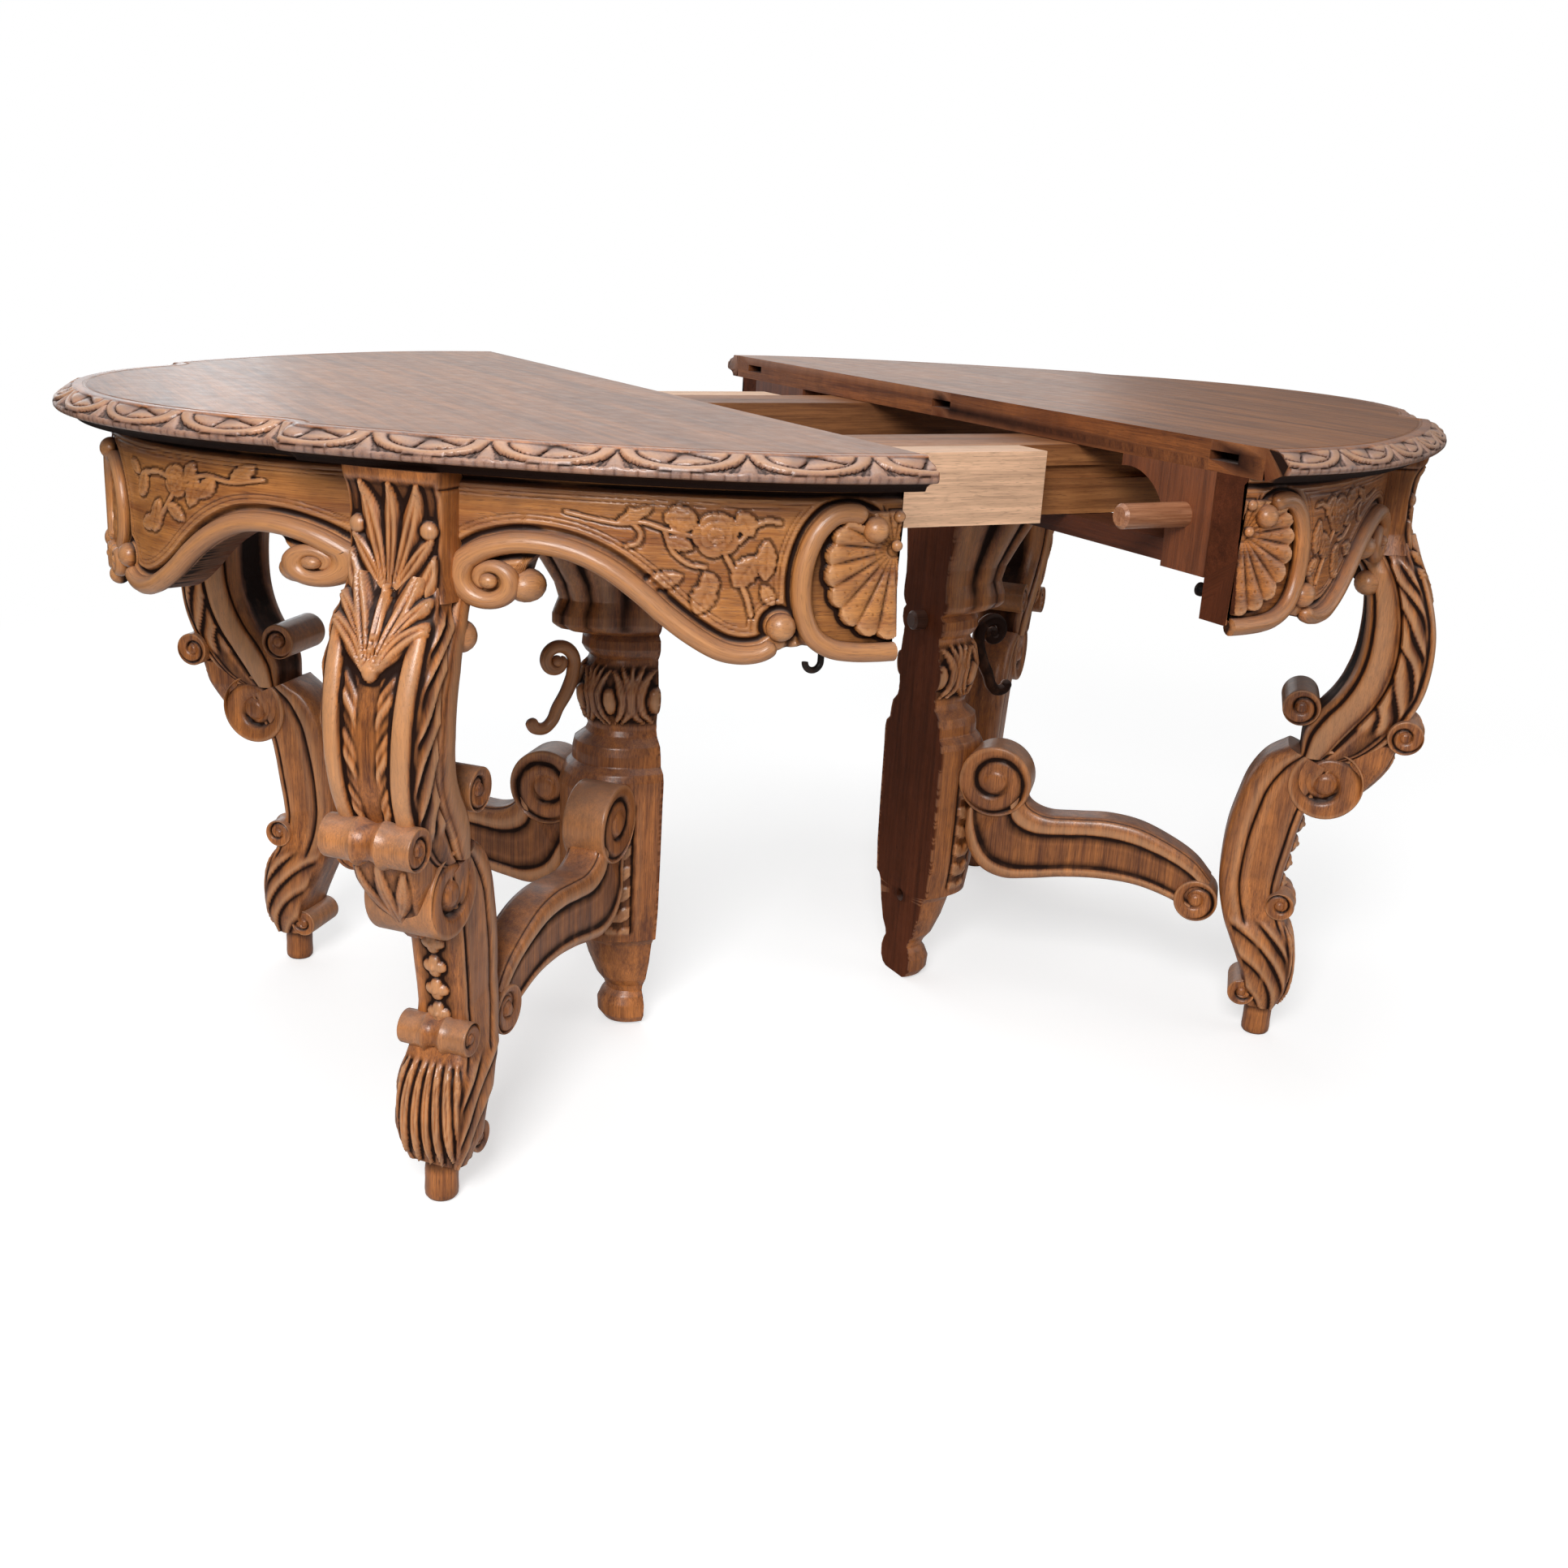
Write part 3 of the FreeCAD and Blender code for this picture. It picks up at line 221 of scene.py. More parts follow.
def nearest(x, y, line):
    """Distance from each place to a line, and how far along the line the nearest spot is."""
    points = np.stack([x, y], -1).reshape(-1, 2)
    start, span = line[:-1], np.diff(line, axis=0)
    long = (span**2).sum(-1)
    run = np.concatenate([[0], np.cumsum(np.sqrt(long))])
    distance = np.empty(len(points))
    along = np.empty(len(points))
    for low in range(0, len(points), PLACES_AT_ONCE):
        some = slice(low, low + PLACES_AT_ONCE)
        away = points[some, None] - start
        share = np.clip((away * span).sum(-1) / long, 0, 1)
        off = np.linalg.norm(away - share[..., None] * span, axis=-1)
        best = off.argmin(1)
        row = np.arange(len(best))
        distance[some] = off[row, best]
        along[some] = run[best] + share[row, best] * np.sqrt(long[best])
    return distance.reshape(x.shape), along.reshape(x.shape)


# Relief: heights above a face, all in metres


def step(value, edge, soft):
    """0 below the edge and 1 above it, eased over that width."""
    share = np.clip((value - edge) / soft + 0.5, 0, 1)
    return share * share * (3 - 2 * share)


def groove(distance, wide, deep):
    """A rounded cut along a line: deepest on the line, gone at about twice the width."""
    return -deep * np.exp(-((distance / wide) ** 2))


def dome(share):
    """1 at the middle and 0 where the share reaches 1, round like a ball."""
    return np.sqrt(np.clip(1 - share**2, 0, 1))


def leaves(x, y, rows, high):
    """Pointed leaves with a midrib and side veins: each row is a place, an angle, length, width."""
    result = np.zeros_like(x)
    for cx, cy, angle, long, wide in rows:
        c, s = math.cos(math.radians(angle)), math.sin(math.radians(angle))
        along = ((x - cx) * c + (y - cy) * s) / long
        across = ((y - cy) * c - (x - cx) * s) / wide
        edge = np.sin(np.pi * np.clip(along, 0, 1)) ** 0.7
        edge = edge * (1 - 0.18 * np.abs(np.sin(along * 5 * np.pi)))
        inside = step(edge - np.abs(across), 0.0, 0.25) * (along > 0) * (along < 1)
        vein = np.cos((along * 5 - np.abs(across) * 1.1) * 2 * np.pi)
        midrib = 0.3 * np.exp(-((across / 0.12) ** 2))
        form = 0.72 + 0.28 * (1 - np.abs(across)) + 0.08 * vein - midrib
        result = np.maximum(result, high * inside * form)
    return result


def plumes(x, y, rows, high):
    """Smooth fluted leaves along curved spines: each row is a spine, a half width and a tip share.

    The half width swells as the sine of the share of the way along, and the height is a dome
    across it with a fine cut down the middle and one beside each edge.
    """
    result = np.zeros_like(x)
    for spine, wide, tip in rows:
        line = smooth_path(spine, 40)
        distance, along = nearest(x, y, line)
        share = along / np.linalg.norm(np.diff(line, axis=0), axis=1).sum()
        swell = np.sin(np.pi * np.clip(share * (1 - tip) + tip * 0.5, 0.02, 0.98))
        half_wide = wide * np.clip(swell, 0.05, 1)
        across = distance / half_wide
        form = np.cos(np.pi / 2 * np.clip(across, 0, 1)) ** 0.8
        form = form - 0.30 * np.exp(-((across / 0.16) ** 2))
        form = form - 0.14 * np.exp(-(((across - 0.55) / 0.15) ** 2))
        result = np.maximum(result, high * form * (across < 1))
    return result


def rose(x, y, cx, cy, radius, high):
    """Three rings of lapping petals round a button."""
    rho = np.hypot(x - cx, y - cy) / radius
    angle = np.arctan2(y - cy, x - cx)
    result = np.zeros_like(x)
    for reach, lift, turn in ((1.0, 0.55, 0.0), (0.68, 0.8, 0.6), (0.38, 1.0, 0.2)):
        petal = np.abs(np.cos(2.5 * (angle + turn)))
        edge = reach * (0.84 + 0.16 * petal**0.5)
        inside = step(edge - rho, 0.0, 0.07)
        lap = lift * (0.7 + 0.3 * np.clip(rho / edge, 0, 1) ** 2 - 0.25 * (1 - petal) ** 3)
        result = np.where(inside > 0.01, np.maximum(result * (1 - inside), lap * inside), result)
    return high * result


def stems(x, y, lines, wide, high):
    """Thin raised stalks along paths."""
    result = np.zeros_like(x)
    for points in lines:
        distance, _ = nearest(x, y, smooth_path(points, 24))
        result = np.maximum(result, high * dome(distance / wide))
    return result


def blurred(field, reach, axes=(0, 1)):
    """The field averaged over a square of cells, by running sums along rows and columns."""
    for axis in axes:
        pads = [(reach + 1, reach) if k == axis else (0, 0) for k in (0, 1)]
        padded = np.pad(field, pads, "edge")
        total = np.cumsum(padded, axis)
        far = np.take(total, range(2 * reach + 1, total.shape[axis]), axis)
        near = np.take(total, range(0, total.shape[axis] - 2 * reach - 1), axis)
        field = (far - near) / (2 * reach + 1)
    return field


def hollows(height, reach=3, full=0.0010):
    """How far each place lies below (1) or above (-1) those round it, near by and further off."""
    # The carved oak paints shade into places below their neighbours and a highlight onto those above.
    near = (blurred(height, reach) - height) / full
    far = (blurred(height, reach * 4) - height) / (full * 2.6)
    return np.clip(near * 0.75 + far * 0.65, -1, 1)


# Grids of points


def quads(rows, columns, wrap):
    """Corner numbers of a grid's faces, joined round its columns if asked."""
    row = np.arange(rows - 1)[:, None] * columns
    column = np.arange(columns if wrap else columns - 1)[None, :]
    after = (column + 1) % columns
    faces = [row + column, row + after, row + columns + after, row + columns + column]
    return np.stack(faces, -1).reshape(-1, 4)


def patch(points, grain=None, hollow=0.0, bare=0.0, pale=0.0, wrap=False, faces=None, coat=0):
    """A grid of points with its finish: how hollow, how bare of polish and how pale each is.

    coat is the number of its material among those of its piece.
    """
    # hollow darkens with old polish and painted shade, or where negative lightens with wear and a
    # painted highlight; pale is the waxed band with its painted sheen.
    shape = points.shape[:2]
    finish = [np.broadcast_to(value, shape).reshape(-1) for value in (hollow, bare, pale)]
    grain = points if grain is None else np.stack(np.broadcast_arrays(*grain), -1)
    return {
        "points": points.reshape(-1, 3),
        "faces": [quads(*shape, wrap)] if faces is None else faces,
        "finish": np.stack(finish, -1),
        "grain": grain.reshape(-1, 3),
        "coat": coat,
    }


def normals(points, wrap):
    """Unit normals of a grid, from the differences of its neighbours."""
    down = np.gradient(points, axis=0)
    if wrap:
        across = np.roll(points, -1, 1) - np.roll(points, 1, 1)
    else:
        across = np.gradient(points, axis=1)
    normal = np.cross(across, down)
    return normal / np.maximum(np.linalg.norm(normal, axis=-1, keepdims=True), 1e-12)


def outward(points, wrap=True):
    """The grid's normals, turned so that they point away from its rows' middles."""
    normal = normals(points, wrap)
    away = points - points.mean(1, keepdims=True)
    return normal if (normal * away).sum() > 0 else -normal


def closed_ends(points):
    """The grid with its first and last rows drawn in to their middles."""
    first = points[:1].mean(1, keepdims=True)
    last = points[-1:].mean(1, keepdims=True)
    wide = points.shape[1]
    start = [np.repeat(first, wide, 1), first + (points[:1] - first) * 0.5]
    end = [last + (points[-1:] - last) * 0.5, np.repeat(last, wide, 1)]
    return np.concatenate([*start, points, *end])


def end_rows(field):
    """A field of a grid whose ends were closed: its first and last rows are repeated twice."""
    return np.concatenate([field[:1], field[:1], field, field[-1:], field[-1:]])


def ring_cap(points, **finish):
    """A flat face inside a closed line of points: triangles round their middle."""
    count = len(points)
    middle = points.mean(0, keepdims=True)
    index = np.arange(count)
    faces = np.stack([index, (index + 1) % count, np.full(count, count)], -1)
    grid = np.concatenate([points, middle])[None]
    return patch(grid, faces=[faces], **finish)


def build(name, body, patches, materials, replaced):
    """One mesh from its patches: doubles merged, faces outwards, corners sharp past 50 degrees."""
    offsets = np.cumsum([0] + [len(p["points"]) for p in patches])
    loops = []
    totals = []
    coats = []
    for p, offset in zip(patches, offsets):
        for faces in p["faces"]:
            loops.append((faces + offset).reshape(-1))
            totals.append(np.full(faces.shape[0], faces.shape[1]))
            coats.append(np.full(faces.shape[0], p["coat"]))
    totals = np.concatenate(totals)
    mesh = bpy.data.meshes.new(name)
    mesh.vertices.add(int(offsets[-1]))
    mesh.vertices.foreach_set("co", np.concatenate([p["points"] for p in patches]).ravel())
    loops = np.concatenate(loops)
    mesh.loops.add(len(loops))
    mesh.loops.foreach_set("vertex_index", loops)
    mesh.polygons.add(len(totals))
    mesh.polygons.foreach_set("loop_start", np.cumsum(totals) - totals)
    mesh.polygons.foreach_set("material_index", np.concatenate(coats))
    mesh.update(calc_edges=True)
    for key in ("finish", "grain"):
        layer = mesh.attributes.new(key, "FLOAT_VECTOR", "POINT")
        layer.data.foreach_set("vector", np.concatenate([p[key] for p in patches]).ravel())
    work = bmesh.new()
    work.from_mesh(mesh)
    bmesh.ops.remove_doubles(work, verts=work.verts, dist=2e-5)
    bmesh.ops.recalc_face_normals(work, faces=work.faces)
    work.to_mesh(mesh)
    work.free()
    mesh.shade_smooth()
    mesh.set_sharp_from_angle(angle=math.radians(50))
    for material in materials:
        mesh.materials.append(material)
    piece = bpy.data.objects.new(name, mesh)
    bpy.context.scene.collection.objects.link(piece)
    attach(piece, body)
    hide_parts(*replaced)


# Places on the table


def half(side, u, v, z):
    """A place in a half's own frame as world coordinates."""
    return np.stack(np.broadcast_arrays(side * (GAP_HALF + u), side * v, z), -1)


def hands(side):
    """Front and back in a half's frame."""
    return (("front", -side), ("back", side))


def half_name(side):
    return "right" if side > 0 else "left"


def carve(node_name, side, patches, materials, kind="carved"):
    """The piece of a half that stands in for a node."""
    build(f"{kind}_{node_name}", f"{half_name(side)}_half", patches, materials, [node_name])


def leg_place(side, hand):
    """World coordinates from a leg's frame."""
    c, s = math.cos(sizes().leg_angle), math.sin(sizes().leg_angle)

    def place(r, across, z):
        return half(side, r * c - across * s, hand * (r * s + across * c), z)

    return place


def end_circle():
    """Centre on the u axis and radius of the end curve, through its tip and the notch."""
    run = HALF_LENGTH * (1 - PLAN_SHARES[-1][0])
    notch = HALF_WIDTH * PLAN_SHARES[-1][1]
    radius = (run * run + notch * notch) / (2 * run)
    return HALF_LENGTH - radius, radius


def end_point(out, share):
    """A point of the end curve: share 0 is the tip and share 1 the notch."""
    centre, radius = end_circle()
    angle = share * math.asin(HALF_WIDTH * PLAN_SHARES[-1][1] / radius)
    return centre + (radius + out) * math.cos(angle), (radius + out) * math.sin(angle)


def plan_points(out):
    """The plan's points, each moved out along the local normal."""
    spots = [(a * HALF_LENGTH, b * HALF_WIDTH) for a, b in PLAN_SHARES] + [end_point(0, 0.5)]
    spots = np.array(spots)
    chord = spots[2:] - spots[:-2]
    normal = np.stack([-chord[:, 1], chord[:, 0]], -1) / np.linalg.norm(chord, axis=1)[:, None]
    return np.vstack([[0, spots[0, 1] + out], spots[1:-1] + out * normal])


def outline(count):
    """The whole plan from the front split corner round to the back one, with softened corners."""
    p = plan_points(0)
    centre, radius = end_circle()
    reach = math.asin(p[6][1] / radius)
    at = np.linspace(reach, 0, 160)
    tip = np.stack([centre + radius * np.cos(at), radius * np.sin(at)], -1)
    quarter = np.vstack([arc(*p[:3], 160), arc(*p[2:5], 160)[1:], arc(*p[4:7], 60)[1:], tip[1:]])
    line = np.vstack([quarter, quarter[-2::-1] * (1, -1)])
    line = evenly(line, count)
    for _ in range(6):
        line[1:-1] = (line[:-2] + line[1:-1] * 2 + line[2:]) / 4
    return line


def side_face(side, hand, inset):
    """A long apron's face: a place from its distance from the split, its height and how proud."""
    points = plan_points(-inset)
    line = np.vstack([arc(*points[:3], 120), arc(*points[2:5], 120)[1:]])
    normal = left_normals(line)

    def place(a, z, out):
        nu, nv = (np.interp(a, line[:, 0], normal[:, axis]) for axis in (0, 1))
        v = np.interp(a, line[:, 0], line[:, 1])
        split = step(a, 0.012, 0.024)
        return half(side, a + out * nu * split, hand * (v + out * nv), z)

    return place


def end_face(side, hand, inset):
    """The end apron's face: a place from its distance across, its height and how proud."""
    centre, radius = end_circle()
    radius = radius - inset

    def place(a, z, out):
        angle = np.arcsin(a / radius)
        reach = radius + out
        return half(side, centre + reach * np.cos(angle), hand * reach * np.sin(angle), z)

    return place


# Forms carried along paths


def tube(place, path, radius, rise=1.0, sides=14, flat_end=False, proud=0.0):
    """A round bead along a path on a face: a circle of the radius carried along it.

    Each point is the path's, plus the radius times the cosine of its angle across the path, and
    the radius times the rise and the sine straight out of the face. Its start shrinks as a ball,
    and so does its end unless it is flat.
    """
    run = lengths(path)
    radius = np.broadcast_to(radius, run.shape).copy()
    radius *= dome(np.clip(1 - run / radius, 0, 1))
    if not flat_end:
        radius *= dome(np.clip(1 - (run[-1] - run) / np.maximum(radius, 1e-6), 0, 1))
    ahead = np.gradient(path, axis=0)
    ahead /= np.maximum(np.linalg.norm(ahead, axis=1), 1e-9)[:, None]
    angle = np.linspace(0, 2 * np.pi, sides, endpoint=False)
    across = radius[:, None] * np.cos(angle)
    a = path[:, :1] - ahead[:, 1:] * across
    z = path[:, 1:] + ahead[:, :1] * across
    out = radius[:, None] * rise * np.sin(angle) + proud
    points = closed_ends(place(a, z, out))
    # Painted shade where the bead sinks into the face; wear and a painted highlight along its crest.
    high = end_rows(np.broadcast_to(-np.clip(np.sin(angle), 0, 1) * 0.7, a.shape))
    low = end_rows(np.broadcast_to(step(-out, 0.0, 0.006) * 0.8, a.shape))
    grain = end_rows(np.broadcast_to(run[:, None], a.shape)), end_rows(across), end_rows(out)
    return patch(points, grain, hollow=high + low, wrap=True)


def ball(place, a, z, radius, proud=0.0, rise=1.0):
    """A ball on a face: circles of latitude."""
    turn = np.linspace(0, np.pi, 13)[:, None]
    angle = np.linspace(0, 2 * np.pi, 20, endpoint=False)[None]
    out = proud + radius * rise * np.cos(turn) + 0 * angle
    ring = radius * np.sin(turn)
    points = place(a + ring * np.cos(angle), z + ring * np.sin(angle), out)
    # Painted shade on the half towards the face; wear and a painted highlight on the front.
    high = 0.8 * step(-np.cos(turn), 0.0, 0.5) - 0.8 * np.clip(np.cos(turn), 0, 1)
    return patch(points, hollow=np.broadcast_to(high, out.shape), wrap=True)


def scroll(place, r, z, radius, half_wide, turns, first, way, bead, deep):
    """A rolled-up volute lying across a leg: a barrel whose two ends carry a spiral groove.

    Its rows run from the middle of one end, out over the rim, along the barrel and back in to the
    middle of the other end. The end is cut by a groove where the radius, less the angle's share of
    the pitch, is a whole number of pitches, and the middle rises as a button. deep scales the
    relief of the ends, and bead raises a ring round the barrel, or draws a waist if negative.
    """
    around = np.linspace(0, 2 * np.pi, 48, endpoint=False)[None]
    end = np.linspace(0, 0.93, 15)
    rim = np.linspace(0, math.pi / 2, 5)[1:]
    rho = np.concatenate([end, 0.93 + 0.07 * np.sin(rim)])
    lip = np.concatenate([np.zeros(len(end)), 0.07 * (1 - np.cos(rim))])
    barrel = np.linspace(-1, 1, 15)[1:-1]
    rows_rho = np.concatenate([rho, np.ones(len(barrel)), rho[::-1]])[:, None]
    rows_lip = np.concatenate([lip, np.full(len(barrel), np.nan), lip[::-1]])[:, None]
    across = np.where(np.isnan(rows_lip), 0, half_wide - radius * rows_lip)
    sign = np.concatenate([-np.ones(len(rho)), np.zeros(len(barrel)), np.ones(len(rho))])[:, None]
    flat = np.concatenate([np.zeros(len(rho)), barrel, np.zeros(len(rho))])[:, None]
    pitch = 1 / (turns + 0.45)
    phase = (rows_rho - way * (around - math.radians(first)) / (2 * np.pi) * pitch) / pitch
    near = np.abs(phase - np.round(phase)) * pitch
    cut = np.exp(-((near / 0.075) ** 2)) * step(rows_rho, 0.34, 0.16) * (rows_rho < 0.95)
    button = 0.14 * dome(np.clip(rows_rho / 0.30, 0, 1))
    button = button - 0.06 * np.exp(-(((rows_rho - 0.33) / 0.06) ** 2))
    relief = deep * radius * (button - 0.17 * cut - 0.14 * (1 - rows_rho)) * np.abs(sign)
    waist = np.exp(-((flat / 0.16) ** 2)) - np.exp(-(((np.abs(flat) - 0.28) / 0.08) ** 2))
    swell = 1 + bead * waist * (sign == 0)
    s = sign * (across + relief) + flat * (half_wide - 0.07 * radius)
    rr = radius * rows_rho * swell
    points = place(r + rr * np.cos(around), s + 0 * around, z + rr * np.sin(around))
    # Painted shade with old polish in the spiral groove and the waist; wear and a painted highlight
    # on the barrel and its rims.
    dirt_and_shade = np.clip(cut * 1.2, 0, 1) * np.abs(sign) + 0.6 * (swell < 0.99)
    wear_and_highlight = -0.5 * (rows_rho > 0.9)
    grain = (rr * np.sin(around), rr * np.cos(around), s + 0 * around)
    return patch(points, grain, hollow=np.clip(dirt_and_shade + wear_and_highlight, -1, 1), wrap=True)


def rounded_square(count, power):
    """Points round a square of half side 1 with rounded corners, closer together on its front."""
    angle = np.linspace(0, 2 * np.pi, 4001)
    c, s = np.cos(angle), np.sin(angle)
    line = np.stack([
        np.sign(c) * np.abs(c) ** (2 / power), np.sign(s) * np.abs(s) ** (2 / power),
    ], -1)
    weight = 0.45 + 0.55 * (line[:, 1] > -0.9) + 1.2 * (line[:, 1] > 0.7)
    weighed = np.linalg.norm(np.diff(line, axis=0), axis=1) * weight[1:]
    run = np.concatenate([[0], np.cumsum(weighed)])
    at = np.linspace(0, run[-1], count + 1)[:-1]
    return np.stack([np.interp(at, run, line[:, axis]) for axis in (0, 1)])


def member(place, outer, inner, wide, relief, rows, columns, power):
    """A carved member: a rounded square carried between two lines of the side view.

    q runs from the inner line (-1) to the outer one (1) and p across it; relief gives a height from
    the run down the member, p times the half width, p and q, and moves each point along its normal.
    """
    outer = smooth_path(outer, rows)
    inner = smooth_path(inner, rows)
    middle = (outer + inner) / 2
    deep = (outer - inner) / 2
    run = lengths(outer)[:, None]
    p, q = rounded_square(columns, power)
    high = middle[:, 1]
    width = np.interp(-high, -np.asarray(wide)[:, 0], np.asarray(wide)[:, 1])[:, None]
    r = middle[:, :1] + deep[:, :1] * q
    z = middle[:, 1:] + deep[:, 1:] * q
    s = width * p
    local = np.stack([r, s, z], -1)
    height = relief(run + 0 * s, s, p + 0 * run, q + 0 * run)
    local = local + outward(local) * height[..., None]
    points = closed_ends(place(local[..., 0], local[..., 1], local[..., 2]))
    grain = [end_rows(value) for value in (run + 0 * s, s, r)]
    return patch(points, grain, hollow=end_rows(hollows(height)), wrap=True)


# Finishes


def node(tree, kind, values=(), **settings):
    """Adds a node; values are put on its inputs by name, from a number or from another socket."""
    made = tree.nodes.new(kind)
    for key, value in settings.items():
        setattr(made, key, value)
    for key, value in dict(values).items():
        if isinstance(value, bpy.types.NodeSocket):
            tree.links.new(value, made.inputs[key])
        else:
            made.inputs[key].default_value = value
    return made


def maths(tree, operation, *values, clamp=False):
    """A sum on numbers or sockets."""
    inputs = dict(enumerate(values))
    made = node(tree, "ShaderNodeMath", inputs, operation=operation, use_clamp=clamp)
    return made.outputs[0]


def mixed(tree, share, first, second, blend="MIX"):
    """Two colours mixed by a share."""
    inputs = {0: share, 6: first, 7: second}
    made = node(tree, "ShaderNodeMix", inputs, data_type="RGBA", blend_type=blend)
    return made.outputs[2]


def rgba(colour, scale=1.0):
    return (*(min(1.0, channel * scale) for channel in colour), 1.0)


def shared(tree, name, place):
    """The outputs of a shared node group at a place."""
    group = bpy.data.node_groups[name]
    return node(tree, "ShaderNodeGroup", {"Place": place}, node_tree=group).outputs


def new_group(name, *outputs):
    """A node group from a place to some numbers: its tree and the place's socket."""
    tree = bpy.data.node_groups.new(name, "ShaderNodeTree")
    tree.interface.new_socket(name="Place", in_out="INPUT", socket_type="NodeSocketVector")
    for output in outputs:
        tree.interface.new_socket(name=output, in_out="OUTPUT", socket_type="NodeSocketFloat")
    return tree, node(tree, "NodeGroupInput").outputs["Place"]


def wood_group():
    """Grain of oak from a place whose x runs along the fibres: a tone, its pores and a height."""
    tree, place = new_group("oak_grain", "Tone", "Pores", "Height")

    def streaks(scale, frequency, detail, distortion=0.0):
        mapping = node(tree, "ShaderNodeMapping", {"Vector": place, "Scale": scale})
        noise = node(tree, "ShaderNodeTexNoise", {
            "Vector": mapping.outputs[0], "Scale": frequency, "Detail": detail,
            "Distortion": distortion,
        })
        return noise.outputs[0]

    broad = streaks((0.9, 9.0, 9.0), 4.0, 3.0, 0.8)
    rings = streaks((0.5, 22.0, 22.0), 6.0, 4.0, 0.3)
    fine = streaks((1.0, 30.0, 30.0), 22.0, 2.0)
    pores = streaks((1.0, 16.0, 16.0), 90.0, 1.0)
    tone = maths(tree, "MULTIPLY_ADD", broad, 1.5, -0.30)
    tone = maths(tree, "MULTIPLY_ADD", rings, 1.5, tone)
    tone = maths(tree, "MULTIPLY_ADD", fine, 1.3, tone)
    tone = maths(tree, "SUBTRACT", tone, 1.33, clamp=True)
    dark = node(tree, "ShaderNodeMapRange", {"Value": pores, "From Min": 0.60, "From Max": 0.70})
    dark = dark.outputs[0]
    height = maths(tree, "MULTIPLY_ADD", fine, 0.4, maths(tree, "MULTIPLY", dark, -0.6))
    node(tree, "NodeGroupOutput", {"Tone": tone, "Pores": dark, "Height": height})


def soil_group():
    """Patchy age from a place: slow stains, and a mottle for dirt and rubbing."""
    tree, place = new_group("oak_age", "Stain", "Mottle")
    slow = node(tree, "ShaderNodeTexNoise", {"Vector": place, "Scale": 7.0, "Detail": 3.0})
    quick = node(tree, "ShaderNodeTexNoise", {"Vector": place, "Scale": 55.0, "Detail": 4.0})
    node(tree, "NodeGroupOutput", {"Stain": slow.outputs[0], "Mottle": quick.outputs[0]})


def new_material(name):
    made = bpy.data.materials.new(name)
    made.use_nodes = True
    made.node_tree.nodes.clear()
    return made, made.node_tree


def finish_material(tree, colour, rough, height, bump, coat, coat_rough, shine=0.4):
    """The shader of a polished wood, with its bump from a height."""
    bumped = node(tree, "ShaderNodeBump", {"Height": height, "Strength": bump, "Distance": 0.0006})
    shader = node(tree, "ShaderNodeBsdfPrincipled", {
        "Base Color": colour, "Roughness": rough, "Normal": bumped.outputs[0],
        "Coat Weight": coat, "Coat Roughness": coat_rough, "Specular IOR Level": shine,
    })
    node(tree, "ShaderNodeOutputMaterial", {0: shader.outputs[0]})


